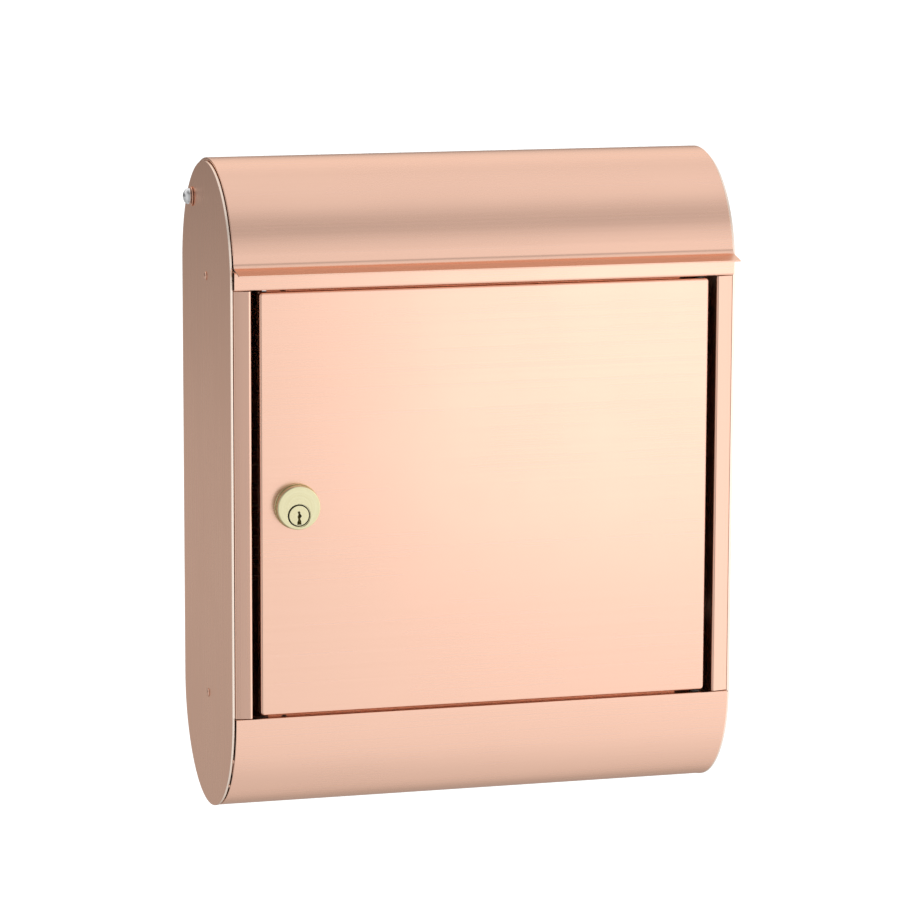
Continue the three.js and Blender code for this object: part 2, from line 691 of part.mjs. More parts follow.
// Tumblers: driver pins and springs stay in the cylinder, key pins turn with the plug.
const driverFrom = shearZ + GAP;
const springFrom = driverFrom + DRIVER_L + GAP;
const springTo = CHAMBER_TOP - PLUG_DROP - GAP;
chambers.forEach((y, i) => {
  const driver = turned([
    [0, 0],
    [TUMBLER_R, 0],
    [TUMBLER_R, DRIVER_L],
    [0, DRIVER_L],
  ], SMALL_ROUND);
  const driverPin = part(lock, `driver_pin_${i + 1}`, driver, brass);
  driverPin.position.set(0, y, driverFrom);
  driverPin.rotation.x = Math.PI / 2;

  const spring = ring(SPRING_IN_R, TUMBLER_R, springTo - springFrom, SMALL_ROUND);
  const driverSpring = part(lock, `driver_spring_${i + 1}`, spring, brightSteel);
  driverSpring.position.set(0, y, springFrom);
  driverSpring.rotation.x = Math.PI / 2;

  const keyPin = part(plug, `key_pin_${i + 1}`, turned([
    [0, KEYWAY_UP + GAP],
    [TUMBLER_R, KEYWAY_UP + GAP + 0.6],
    [TUMBLER_R, PLUG_R - GAP],
    [0, PLUG_R - GAP],
  ], SMALL_ROUND), brass);
  keyPin.position.y = y;
  keyPin.rotation.x = Math.PI / 2;
});

// Plug with its keyway, and the cam on its tail.
const plugFront = PLUG_SET_BACK - LOCK_PROUD;
const plugBack = bodyL + GAP;
const plugBlank = turned([
  [0, plugFront],
  [PLUG_R - 0.3, plugFront],
  [PLUG_R, plugFront + 0.3],
  [PLUG_R, plugBack],
  [0, plugBack],
], ROUND);
part(plug, 'lock_plug', combine(plugBlank, [], [
  box(-KEYWAY_W / 2, KEYWAY_W / 2, plugFront - 1, plugFront + KEYWAY_D, -KEYWAY_DOWN, KEYWAY_UP),
  rodY(CAM_SCREW_R + GAP, plugBack - CAM_SCREW_L - 1, plugBack + 1, 0, 0, SMALL_ROUND),
  ...chambers.map((y) => rodZ(CHAMBER_R, 0, PLUG_R + 1, 0, y, SMALL_ROUND)),
]), brass);

const camOutline = rectangle(CAM_W, CAM_L + CAM_W / 2, 4);
const camBlank = alongY(camOutline, plugBack + GAP, plugBack + GAP + CAM_T);
part(plug, 'lock_cam', combine(camBlank.translate(0, 0, CAM_L / 2 - CAM_W / 4), [], [
  rodY(CAM_SCREW_R + GAP, plugBack - 1, plugBack + CAM_T + 1, 0, 0, SMALL_ROUND),
]), zincSteel);

part(plug, 'cam_screw', turned([
  [0, -CAM_SCREW_L],
  [CAM_SCREW_R, -CAM_SCREW_L],
  [CAM_SCREW_R, CAM_T + 2 * GAP],
  [CAM_HEAD_R, CAM_T + 2 * GAP],
  [CAM_HEAD_R - 0.6, CAM_T + 2 * GAP + CAM_HEAD_H],
  [0, CAM_T + 2 * GAP + CAM_HEAD_H],
], ROUND), zincSteel).position.y = plugBack;

// Keeper: an angle on the left channel's web that the turned cam reaches behind.
const camFrontY = LOCK_BACK_Y + 2 * GAP;
const keeperY = camFrontY - KEEPER_CLEAR;
const keeperX = -(INNER_X - SHEET_T - GAP);
const keeperRivetY = LOCK_BACK_Y + KEEPER_RIVET_IN;
const keeperRivetZ = [-0.5, 0.5].map((step) => LOCK_Z + step * KEEPER_RIVET_PITCH);
const keeperPath = bend(points([
  [keeperX, keeperY - KEEPER_T + KEEPER_FOOT],
  [keeperX, keeperY - KEEPER_T],
  [KEEPER_EDGE_X, keeperY - KEEPER_T],
]));
part(mailbox, 'lock_keeper', combine(
  alongZ(sheetShape(keeperPath, KEEPER_T), LOCK_Z - KEEPER_H / 2, LOCK_Z + KEEPER_H / 2),
  [],
  keeperRivetZ.map((z) => (
    rodX(KEEPER_RIVET_R + GAP, keeperX - 1, keeperX + KEEPER_T + 1, keeperRivetY, z, SMALL_ROUND)
  )),
), zincSteel);
LEVELS.forEach(([level], i) => {
  const seat = KEEPER_T + 2 * GAP + SHEET_T;
  const rivet = part(mailbox, `${level}_keeper_rivet`, turned([
    [0, 0.1],
    [KEEPER_RIVET_R, 0.1],
    [KEEPER_RIVET_R, seat],
    [KEEPER_RIVET_HEAD_R, seat],
    [KEEPER_RIVET_HEAD_R - 0.8, seat + KEEPER_RIVET_HEAD_H],
    [0, seat + KEEPER_RIVET_HEAD_H],
  ], SMALL_ROUND), zincSteel);
  rivet.position.set(-INNER_X, keeperRivetY, keeperRivetZ[i]);
  rivet.rotation.z = -Math.PI / 2;
});

// Rubber stops: buttons under the lid's arms and pads behind the door's top and bottom flanges.
for (const [side, sign] of SIDES) {
  const button = turned([
    [0, 0],
    [LID_STOP_R, 0],
    [LID_STOP_R, LID_STOP_TOP_Z - HEADER_TOP_Z - GAP - 1],
    [LID_STOP_R - 1, LID_STOP_TOP_Z - HEADER_TOP_Z - GAP],
    [0, LID_STOP_TOP_Z - HEADER_TOP_Z - GAP],
  ], ROUND);
  const stop = part(mailbox, `${side}_lid_stop`, button, rubber);
  stop.position.set(sign * LID_STOP_X, LID_STOP_Y, HEADER_TOP_Z + GAP);
  stop.rotation.x = Math.PI / 2;
}
for (const [level] of LEVELS) {
  const pad = rodY(DOOR_STOP_R, -DOOR_STOP_T, 0, 0, 0);
  const stop = part(mailbox, `${level}_door_stop`, pad, rubber);
  stop.position.set(DOOR_STOP_X, STOP_Y - GAP, DOOR_STOP_Z[level]);
}

export default mailbox;
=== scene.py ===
from math import cos, pi, radians, sin

import bmesh
import bpy
from mathutils import Matrix, Vector


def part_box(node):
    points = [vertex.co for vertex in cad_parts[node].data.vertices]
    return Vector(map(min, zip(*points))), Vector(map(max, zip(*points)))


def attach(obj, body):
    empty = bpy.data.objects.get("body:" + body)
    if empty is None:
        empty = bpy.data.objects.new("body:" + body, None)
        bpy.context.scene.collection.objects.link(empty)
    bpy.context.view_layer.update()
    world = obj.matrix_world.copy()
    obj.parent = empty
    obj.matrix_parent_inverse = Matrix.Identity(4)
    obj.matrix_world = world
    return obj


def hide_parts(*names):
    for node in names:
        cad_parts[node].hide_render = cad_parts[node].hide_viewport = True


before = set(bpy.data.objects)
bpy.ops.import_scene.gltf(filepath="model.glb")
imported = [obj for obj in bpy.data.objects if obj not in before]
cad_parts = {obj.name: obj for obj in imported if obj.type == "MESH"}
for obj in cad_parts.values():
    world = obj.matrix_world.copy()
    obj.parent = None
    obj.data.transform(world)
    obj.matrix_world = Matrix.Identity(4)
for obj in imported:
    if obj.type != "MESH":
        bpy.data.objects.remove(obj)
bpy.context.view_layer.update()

# Studio: a white room with a pale floor well below the mailbox, which hangs at letter height.
# The room's brightness changes with direction, as soft boxes with a dimmer gap between them do,
# and one broad soft box stands close in front, a little to the right.
scene = bpy.context.scene
scene.view_settings.view_transform = "Standard"
ROOM_STRENGTH = 1.1
DIM_GAIN = 1.18
FLOOR_DROP = 1.1
FLOOR_REACH = 30
FLOOR_GREY = 0.93
FLOOR_GLOW = 0.5
KEY_PLACE = (0.60, -1.62, -0.06)
KEY_AIM = (0.12, -0.16, 0.12)
KEY_SIZE = 0.55
KEY_WATTS = 0.55
CAMERA_PLACE = (-0.8431, -3.0745, 0.5523)
CAMERA_TURN = (80.2603, -0.2163, -15.7195)
CAMERA_LENS = 165.82
CAMERA_FAR = 60


def add_node(tree, kind, inputs=None, **settings):
    """Adds a node with its settings, and sets or links its inputs by name or number."""
    made = tree.nodes.new(kind)
    for name, value in settings.items():
        setattr(made, name, value)
    for key, value in (inputs or {}).items():
        if isinstance(value, bpy.types.NodeSocket):
            tree.links.new(value, made.inputs[key])
        else:
            made.inputs[key].default_value = value
    return made


def maths(tree, operation, *values):
    return add_node(tree, "ShaderNodeMath", dict(enumerate(values)), operation=operation).outputs[0]


def grey_ramp(tree, value, stops):
    """A soft ramp of greys: pairs of place and brightness."""
    made = add_node(tree, "ShaderNodeValToRGB", {"Fac": value})
    made.color_ramp.interpolation = "EASE"
    while len(made.color_ramp.elements) < len(stops):
        made.color_ramp.elements.new(0.5)
    for element, (place, grey) in zip(made.color_ramp.elements, stops):
        element.position = place
        element.color = (grey, grey, grey, 1)
    return made.outputs["Color"]


scene.world = bpy.data.worlds.new("white_room")
scene.world.use_nodes = True
room = scene.world.node_tree
room.nodes.clear()
look = add_node(room, "ShaderNodeTexCoord").outputs["Generated"]
way = add_node(room, "ShaderNodeSeparateXYZ", {0: look}).outputs
rise = maths(room, "MULTIPLY_ADD", way["Z"], 0.5, 0.5)
front = grey_ramp(room, rise, [
    (0.0, 0.76), (0.04, 0.86), (0.09, 0.94), (0.26, 0.98), (0.42, 0.96), (0.62, 0.92), (0.74, 0.84),
    (0.86, 0.50), (0.915, 0.62), (0.97, 0.86), (1.0, 0.87),
])
aside = maths(room, "MULTIPLY_ADD", way["X"], 0.5, 0.5)
dim = grey_ramp(room, aside, [
    (0.0, 0.60), (0.25, 0.42), (0.40, 0.32), (0.55, 0.68), (0.65, 0.87), (0.8, 1.0),
])
dim = maths(room, "MULTIPLY", dim, DIM_GAIN)
front = add_node(room, "ShaderNodeVectorMath", {0: front, "Scale": dim}, operation="SCALE").outputs[0]
behind = grey_ramp(room, rise, [
    (0.0, 0.62), (0.20, 0.44), (0.34, 0.40), (0.41, 0.52), (0.48, 0.14), (0.57, 0.18), (0.65, 0.72),
    (0.76, 0.92), (1.0, 0.87),
])
depth = add_node(room, "ShaderNodeMapRange", {0: way["Y"], 1: -0.1, 2: 0.7}).outputs[0]
walls = add_node(room, "ShaderNodeMix", {0: depth, 6: front, 7: behind}, data_type="RGBA").outputs[2]
bright = add_node(room, "ShaderNodeBackground", {"Color": walls, "Strength": ROOM_STRENGTH})
plain = add_node(room, "ShaderNodeBackground", {"Color": (1, 1, 1, 1)})
seen = add_node(room, "ShaderNodeLightPath").outputs["Is Camera Ray"]
shown = add_node(room, "ShaderNodeMixShader", {0: seen, 1: bright.outputs[0], 2: plain.outputs[0]})
add_node(room, "ShaderNodeOutputWorld", {"Surface": shown.outputs[0]})

floor_mesh = bpy.data.meshes.new("floor")
sweep = bmesh.new()
floor_place = Matrix.Translation((0, 0, -FLOOR_DROP))
bmesh.ops.create_grid(sweep, x_segments=1, y_segments=1, size=FLOOR_REACH, matrix=floor_place)
sweep.to_mesh(floor_mesh)
sweep.free()
floor = bpy.data.objects.new("floor", floor_mesh)
scene.collection.objects.link(floor)
floor_paint = bpy.data.materials.new("pale_floor")
floor_paint.use_nodes = True
floor_shader = floor_paint.node_tree.nodes["Principled BSDF"].inputs
floor_shader["Base Color"].default_value = (FLOOR_GREY, FLOOR_GREY, FLOOR_GREY, 1)
floor_shader["Roughness"].default_value = 0.9
floor_shader["Emission Color"].default_value = (1, 1, 1, 1)
floor_shader["Emission Strength"].default_value = FLOOR_GLOW
floor_mesh.materials.append(floor_paint)
floor.visible_glossy = False

key = bpy.data.lights.new("soft_box", "AREA")
key.size = KEY_SIZE
key.energy = KEY_WATTS
key_box = bpy.data.objects.new("soft_box", key)
key_box.location = KEY_PLACE
key_box.rotation_euler = (Vector(KEY_AIM) - Vector(KEY_PLACE)).to_track_quat("-Z", "Y").to_euler()
key_box.visible_camera = False
scene.collection.objects.link(key_box)

lens = bpy.data.cameras.new("camera")
lens.lens = CAMERA_LENS
lens.clip_end = CAMERA_FAR
camera = bpy.data.objects.new("camera", lens)
camera.location = CAMERA_PLACE
camera.rotation_euler = [radians(turn) for turn in CAMERA_TURN]
scene.collection.objects.link(camera)
scene.camera = camera


# Side plates: flat 2 mm copper plated blanks with full round ends, brushed upright and lacquered.
# They are drilled for the lid pins and the rivets, and their edges are broken with a fine file.
def new_group(name, inputs, outputs):
    """An empty node group. An input that starts as None is a vector, and all the rest are numbers."""
    group = bpy.data.node_groups.new(name, "ShaderNodeTree")
    for label, start in inputs:
        kind = "NodeSocketVector" if start is None else "NodeSocketFloat"
        socket = group.interface.new_socket(label, in_out="INPUT", socket_type=kind)
        if start is not None:
            socket.default_value = start
    for label in outputs:
        group.interface.new_socket(label, in_out="OUTPUT", socket_type="NodeSocketFloat")
    return group, group.nodes.new("NodeGroupInput").outputs, group.nodes.new("NodeGroupOutput").inputs


def noise(tree, vector, scale, detail, rough):
    settings = {"Vector": vector, "Scale": scale, "Detail": detail, "Roughness": rough}
    return add_node(tree, "ShaderNodeTexNoise", settings).outputs[0]


def spread(tree, value, low, high, to_low=0.0, to_high=1.0):
    settings = {0: value, 1: low, 2: high, 3: to_low, 4: to_high}
    return add_node(tree, "ShaderNodeMapRange", settings).outputs[0]


# Grain: the lines of the abrasive belt, fine and broad, on a vector stretched along them.
grain_group, given, out = new_group(
    "brushed_grain", [("Vector", None), ("Fine", 1.0), ("Broad", 0.2)], ["Scratches", "Streaks"],
)
grain_group.links.new(noise(grain_group, given["Vector"], given["Fine"], 3.0, 0.6), out["Scratches"])
broad = noise(grain_group, given["Vector"], given["Broad"], 2.0, 0.55)
grain_group.links.new(spread(grain_group, broad, 0.3, 0.7), out["Streaks"])

# Wear: how far a corner turns within a small radius, so edges are rubbed and flats are not.
wear_group, given, out = new_group("edge_wear", [("Radius", 0.0008), ("Reach", 0.35)], ["Wear"])
softened = add_node(wear_group, "ShaderNodeBevel", {"Radius": given["Radius"]}, samples=4).outputs[0]
facing = add_node(wear_group, "ShaderNodeNewGeometry").outputs["Normal"]
agree = add_node(wear_group, "ShaderNodeVectorMath", {0: softened, 1: facing}, operation="DOT_PRODUCT")
turned = maths(wear_group, "SUBTRACT", 1.0, agree.outputs["Value"])
wear_group.links.new(spread(wear_group, turned, 0.02, given["Reach"]), out["Wear"])

# Handling: faint cloudy patches left by hands and weather in the lacquer.
handling_group, given, out = new_group("handling", [("Vector", None), ("Size", 9.0)], ["Smudge"])
patches = noise(handling_group, given["Vector"], given["Size"], 3.0, 0.6)
handling_group.links.new(spread(handling_group, patches, 0.35, 0.7), out["Smudge"])


def use_group(tree, group, inputs):
    return add_node(tree, "ShaderNodeGroup", inputs, node_tree=group).outputs


def mix_colour(tree, fac, first, second):
    return add_node(tree, "ShaderNodeMix", {0: fac, 6: first, 7: second}, data_type="RGBA").outputs[2]


def new_material(name):
    made = bpy.data.materials.new(name)
    made.use_nodes = True
    tree = made.node_tree
    place = add_node(tree, "ShaderNodeTexCoord").outputs["Object"]
    return made, tree, tree.nodes["Principled BSDF"].inputs, place


def brushed_metal(name, mid, pale, worn, grain, rough, bump, coat=0.0, edge=(1, 1, 1, 1), cut=None):
    """Metal with streaks along its grain, soft smudges, edges rubbed brighter and, if given, a pale painted
    highlight on faces that turn across X.
    """
    made, tree, shader, place = new_material(name)
    stretched = add_node(tree, "ShaderNodeMapping", {"Vector": place, "Scale": grain}).outputs[0]
    brushed = use_group(tree, grain_group, {"Vector": stretched, "Fine": 1.0, "Broad": 0.3})
    hands = use_group(tree, handling_group, {"Vector": place, "Size": 9.0})["Smudge"]
    wear = use_group(tree, wear_group, {})["Wear"]
    tone = mix_colour(tree, brushed["Streaks"], mid, pale)
    tone = mix_colour(tree, wear, tone, worn)
    # cut is a pale colour painted where the normal lies across X, on the rims: a painted highlight.
    if cut:
        normal = add_node(tree, "ShaderNodeNewGeometry").outputs["Normal"]
        across = maths(tree, "ABSOLUTE", add_node(tree, "ShaderNodeSeparateXYZ", {0: normal}).outputs["X"])
        tone = mix_colour(tree, spread(tree, across, 0.3, 0.8, 1.0, 0.0), tone, cut)
    tree.links.new(tone, shader["Base Color"])
    streaked = spread(tree, brushed["Streaks"], 0.0, 1.0, rough - 0.02, rough + 0.02)
    handled = maths(tree, "MULTIPLY_ADD", hands, 0.03, streaked)
    tree.links.new(maths(tree, "MULTIPLY_ADD", wear, -0.05, handled), shader["Roughness"])
    settings = {"Strength": bump, "Distance": 0.0001, "Height": brushed["Scratches"]}
    tree.links.new(add_node(tree, "ShaderNodeBump", settings).outputs[0], shader["Normal"])
    shader["Metallic"].default_value = 1.0
    shader["Specular Tint"].default_value = edge
    if coat:
        shader["Coat Weight"].default_value = coat
        shader["Coat Roughness"].default_value = 0.3
    return made


COPPER_MID = (0.920, 0.582, 0.446, 1)
COPPER_PALE = (0.940, 0.600, 0.464, 1)
COPPER_WORN = (0.96, 0.69, 0.56, 1)
COPPER_EDGE = (0.96, 0.84, 0.75, 1)
GRAIN_ALONG = (0.6, 1500, 1500)
GRAIN_UPRIGHT = (1500, 1500, 0.6)
# The pale colour passed as cut is a painted highlight on the plates' rims.
plate_copper = brushed_metal(
    "satin_copper_plate", COPPER_MID, COPPER_PALE, COPPER_WORN, GRAIN_UPRIGHT, 0.27, 0.008,
    edge=COPPER_EDGE, cut=(0.97, 0.82, 0.71, 1),
)
copper_upright = brushed_metal(
    "satin_copper_upright", COPPER_MID, COPPER_PALE, COPPER_WORN, GRAIN_UPRIGHT, 0.27, 0.008,
    edge=COPPER_EDGE,
)


def arc(bm, geom, centre, degrees, steps):
    """Sweeps a point or an edge round an axis along X, and gives back what ends the sweep."""
    turn = bmesh.ops.spin(bm, geom=geom, cent=centre, axis=(1, 0, 0), angle=radians(degrees), steps=steps)
    return turn["geom_last"]


def run(bm, vert, step):
    """Draws a straight line on from a point."""
    grown = bmesh.ops.extrude_vert_indiv(bm, verts=[vert])["verts"]
    bmesh.ops.translate(bm, verts=grown, vec=step)
    return grown[0]


def pull(bm, edges, step):
    """Pulls edges out into sheet, and gives back the new far edges."""
    grown = bmesh.ops.extrude_edge_only(bm, edges=edges)["geom"]
    verts = [item for item in grown if isinstance(item, bmesh.types.BMVert)]
    bmesh.ops.translate(bm, verts=verts, vec=step)
    far = set(verts)
    return [edge for edge in bm.edges if edge.verts[0] in far and edge.verts[1] in far]


def raise_faces(bm, faces, step):
    """Pulls faces out into a closed block."""
    grown = bmesh.ops.extrude_face_region(bm, geom=faces)["geom"]
    verts = [item for item in grown if isinstance(item, bmesh.types.BMVert)]
    bmesh.ops.translate(bm, verts=verts, vec=step)
    bmesh.ops.recalc_face_normals(bm, faces=bm.faces)


def circle(bm, centre, way, radius, steps=32):
    """A ring of edges round an axis, for a hole or a rod's end."""
    turn = Vector(way).to_track_quat("Z", "Y").to_matrix().to_4x4()
    place = Matrix.Translation(centre) @ turn
    made = bmesh.ops.create_circle(bm, segments=steps, radius=radius, matrix=place)
    return [edge for edge in bm.edges if edge.verts[0] in made["verts"]]


def round_edges(bm, edges, radius, steps=4):
    bmesh.ops.bevel(
        bm, geom=edges, offset=radius, segments=steps, profile=0.5, affect="EDGES", material=-1,
    )


def sharp_edges(bm, degrees=50):
    return [e for e in bm.edges if len(e.link_faces) == 2 and e.calc_face_angle() > radians(degrees)]


def farthest_face(bm, way):
    """The largest of the faces that lie farthest along one way."""
    def reach(face):
        return round(face.calc_center_median().dot(way), 5), face.calc_area()
    return max(bm.faces, key=reach)


def wall(bm, thickness, outward, broken=0.0002):
    """Gives open sheet its thickness behind the side that looks outward, and breaks the cut edges."""
    bmesh.ops.remove_doubles(bm, verts=bm.verts, dist=1e-6)
    bmesh.ops.recalc_face_normals(bm, faces=bm.faces)
    if farthest_face(bm, outward).normal.dot(outward) < 0:
        bmesh.ops.reverse_faces(bm, faces=bm.faces)
    bmesh.ops.solidify(bm, geom=bm.faces[:], thickness=thickness)
    if broken:
        round_edges(bm, sharp_edges(bm, 65), broken, 2)


def pierce(bm, way, holes):
    """Cuts round holes in the flat face that lies farthest along one way."""
    flat = farthest_face(bm, way)
    cut = flat.edges[:]
    bmesh.ops.delete(bm, geom=[flat], context="FACES_ONLY")
    for centre, radius in holes:
        cut += circle(bm, centre, way, radius)
    bmesh.ops.triangle_fill(bm, use_beauty=True, use_dissolve=True, edges=cut)


def add_to(bm, other):
    """Moves one mesh's pieces into another."""
    held = bpy.data.meshes.new("held")
    other.to_mesh(held)
    other.free()
    bm.from_mesh(held)
    bpy.data.meshes.remove(held)


def finish(name, bm, material, body, slot, *stands_for):
    """Makes a piece of a finished mesh, smooth but for its sharp edges, and hangs it on its body."""
    mesh = bpy.data.meshes.new(name)
    bm.to_mesh(mesh)
    bm.free()
    mesh.materials.append(material)
    mesh.shade_smooth()
    mesh.set_sharp_from_angle(angle=radians(35))
    piece = bpy.data.objects.new(name, mesh)
    scene.collection.objects.link(piece)
    flats = piece.modifiers.new("flat_faces", "WEIGHTED_NORMAL")
    flats.keep_sharp = True
    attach(piece, body)
    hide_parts(*stands_for)


SIDES = (("left", -1), ("right", 1))
plate_low, plate_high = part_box("right_side_plate")
pivot_low, pivot_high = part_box("right_pivot_washer")
rivet_low, rivet_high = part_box("right_upper_rivet")
PLATE_IN = plate_low.x
PLATE_OUT = plate_high.x
END_R = (plate_high.y - plate_low.y) / 2
ARC_Y = plate_high.y - END_R
ARC_Z = plate_high.z - END_R
TOP_CENTRE = Vector((0, ARC_Y, ARC_Z))
FOOT_CENTRE = Vector((0, ARC_Y, -ARC_Z))
PIVOT = Vector((0, (pivot_low.y + pivot_high.y) / 2, (pivot_low.z + pivot_high.z) / 2))
RIVET_Y = (rivet_low.y + rivet_high.y) / 2
RIVET_Z = (rivet_low.z + rivet_high.z) / 2
PLATE_STEPS = 90
PLATE_EDGE_R = 0.0003
PIN_HOLE_R = 0.0033
RIVET_HOLE_R = 0.0026

for side, sign in SIDES:
    bm = bmesh.new()
    across = Vector((sign * PLATE_IN, 0, 0))
    first = bm.verts.new(across + TOP_CENTRE - Vector((0, END_R, 0)))
    wall_top = arc(bm, [first], TOP_CENTRE, -180, PLATE_STEPS)[0]
    wall_foot = run(bm, wall_top, (0, 0, -2 * ARC_Z))
    last = arc(bm, [wall_foot], FOOT_CENTRE, -180, PLATE_STEPS)[0]
    bm.edges.new((last, first))
    circle(bm, across + PIVOT, (1, 0, 0), PIN_HOLE_R)
    circle(bm, across + Vector((0, RIVET_Y, RIVET_Z)), (1, 0, 0), RIVET_HOLE_R)
    circle(bm, across + Vector((0, RIVET_Y, -RIVET_Z)), (1, 0, 0), RIVET_HOLE_R)
    bmesh.ops.triangle_fill(bm, use_beauty=True, use_dissolve=True, edges=bm.edges[:])
    raise_faces(bm, bm.faces[:], (sign * (PLATE_OUT - PLATE_IN), 0, 0))
    round_edges(bm, sharp_edges(bm, 60), PLATE_EDGE_R, 3)
    finish(f"{side}_plate_blank", bm, plate_copper, "case", "satin_copper", f"{side}_side_plate")


# Back panel: a shallow tray of 1 mm sheet between the plates, with four holes for the wall screws.
# Its top edge carries a curved hood, spot welded on, which closes the case under the lid's rear edge.
copper = brushed_metal(
    "satin_copper", COPPER_MID, COPPER_PALE, COPPER_WORN, GRAIN_ALONG, 0.25, 0.008, 0.08, edge=COPPER_EDGE,
)
SHEET_T = 0.001
BEND_R = 0.002
INNER_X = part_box("back_panel")[1].x
BACK_FLANGE = 0.013
HOOD_X = INNER_X - 0.0047
HOOD_R = END_R - 0.0001
HOOD_LAP = 0.018
HOOD_SWEEP = 60
WALL_HOLE_R = 0.0035
WALL_HOLES = [(x, z) for x in (-0.127, 0.127) for z in (-0.130, 0.130)]

bm = bmesh.new()
bmesh.ops.create_grid(bm, x_segments=1, y_segments=1, size=1, matrix=Matrix.Rotation(radians(90), 4, "X"))
bmesh.ops.scale(bm, verts=bm.verts, vec=(INNER_X, 1, ARC_Z))
for sign in (-1, 1):
    ends = [e for e in bm.edges if all(abs(v.co.x - sign * INNER_X) < 1e-6 for v in e.verts)]
    pull(bm, ends, (0, -BACK_FLANGE, 0))
round_edges(bm, sharp_edges(bm), BEND_R)
pierce(bm, Vector((0, 1, 0)), [((x, 0, z), WALL_HOLE_R) for x, z in WALL_HOLES])
wall(bm, SHEET_T, Vector((0, 1, 0)))
hood = bmesh.new()
hood_end = hood.verts.new((-HOOD_X, ARC_Y + HOOD_R, ARC_Z))
far_end = run(hood, hood_end, (2 * HOOD_X, 0, 0))
crown = hood.edges[:]
pull(hood, crown, (0, 0, -HOOD_LAP))
arc(hood, [hood_end, far_end] + crown, TOP_CENTRE, HOOD_SWEEP, 30)
wall(hood, SHEET_T, Vector((0, 1, 0)))
add_to(bm, hood)
finish("back_tray", bm, copper, "case", "satin_copper", "back_panel")


# Bottom pan: one sheet bent down from the sill and rolled under the case, up inside the back panel.
# Tabs at its ends are welded to the plates, and the weld beads show in the groove at the left rim.
FACE_Y = -0.1662
SILL_Z = -0.1581
SILL_BACK_Y = -0.1553
PAN_R = 0.080
NOSE_CENTRE = Vector((0, FACE_Y + PAN_R, -ARC_Z))
ROLL_DROP = 0.0001
PAN_LAP = 0.020
STOP_FROM, STOP_TO = -0.162, 0.150
STOP_H = 0.009
PAN_TABS = (-24, -60, -96, -132)
TAB_SWEEP = 10
TAB_R = PAN_R - 0.0111
WELD_BEADS = (23.5, 41.5)
BEAD_SIZE = (0.0009, 0.0007, 0.0017)
BEAD_PROUD = 0.0004

bm = bmesh.new()
sill_back = bm.verts.new((-INNER_X, SILL_BACK_Y, SILL_Z))
corner = run(bm, sill_back, (0, FACE_Y - SILL_BACK_Y, 0))
belly = run(bm, corner, (0, 0, -ARC_Z - SILL_Z - ROLL_DROP))
lowest = arc(bm, [belly], NOSE_CENTRE, 90, 45)[0]
turning = run(bm, lowest, FOOT_CENTRE - NOSE_CENTRE)
rear = arc(bm, [turning], FOOT_CENTRE, 90, 45)[0]
run(bm, rear, (0, 0, PAN_LAP))
pull(bm, bm.edges[:], (2 * INNER_X, 0, 0))
bmesh.ops.remove_doubles(bm, verts=bm.verts, dist=0.0003)
round_edges(bm, sharp_edges(bm), BEND_R)
wall(bm, SHEET_T, Vector((0, -1, 0)), 0.0004)
for sign in (-1, 1):
    for angle in PAN_TABS:
        centre = NOSE_CENTRE if angle > -90 else FOOT_CENTRE
        tab = bmesh.new()
        way = Vector((0, -cos(radians(angle)), sin(radians(angle))))
        inner = tab.verts.new(centre + way * TAB_R + Vector((sign * INNER_X, 0, 0)))
        outer = run(tab, inner, way * (PAN_R - TAB_R - SHEET_T))
        arc(tab, [inner, outer] + tab.edges[:], centre, TAB_SWEEP, 5)
        wall(tab, SHEET_T, Vector((sign, 0, 0)))
        add_to(bm, tab)
stop = bmesh.new()
stop_from = stop.verts.new((STOP_FROM, SILL_BACK_Y, SILL_Z - SHEET_T))
run(stop, stop_from, (STOP_TO - STOP_FROM, 0, 0))
pull(stop, stop.edges[:], (0, 0, STOP_H + SHEET_T))
wall(stop, SHEET_T, Vector((0, -1, 0)))
add_to(bm, stop)
for angle in WELD_BEADS:
    bead = bmesh.new()
    bmesh.ops.create_uvsphere(bead, u_segments=16, v_segments=10, radius=1)
    way = Vector((0, -cos(radians(angle)), -sin(radians(angle))))
    bmesh.ops.scale(bead, verts=bead.verts, vec=BEAD_SIZE)
    bmesh.ops.rotate(bead, verts=bead.verts, matrix=Matrix.Rotation(radians(angle), 3, "X"))
    bead_place = FOOT_CENTRE + way * (END_R + BEAD_PROUD) - Vector((INNER_X, 0, 0))
    bmesh.ops.translate(bead, verts=bead.verts, vec=bead_place)
    add_to(bm, bead)
finish("rolled_pan", bm, copper, "case", "satin_copper", "bottom_pan")


# Side channels: folded uprights that frame the door opening, riveted to the plates through their webs.
# Each stile is bent sharply at the plate and more gently where it turns back beside the door, and
# it leans back 2 mm towards the plate.
STILE_IN_X = 0.1755
JAMB_BACK_Y = -0.156
WEB_BACK_Y = -0.108
STILE_LEAN = 0.0020
PLATE_BEND_R = 0.0011
JAMB_BEND_R = 0.0022
EAR_BACK_Y = -0.068
EAR_Z = 0.166
HEADER_Z = 0.155
GAP = 0.0003
STILE_TOP = HEADER_Z - GAP
STILE_FOOT = SILL_Z + GAP

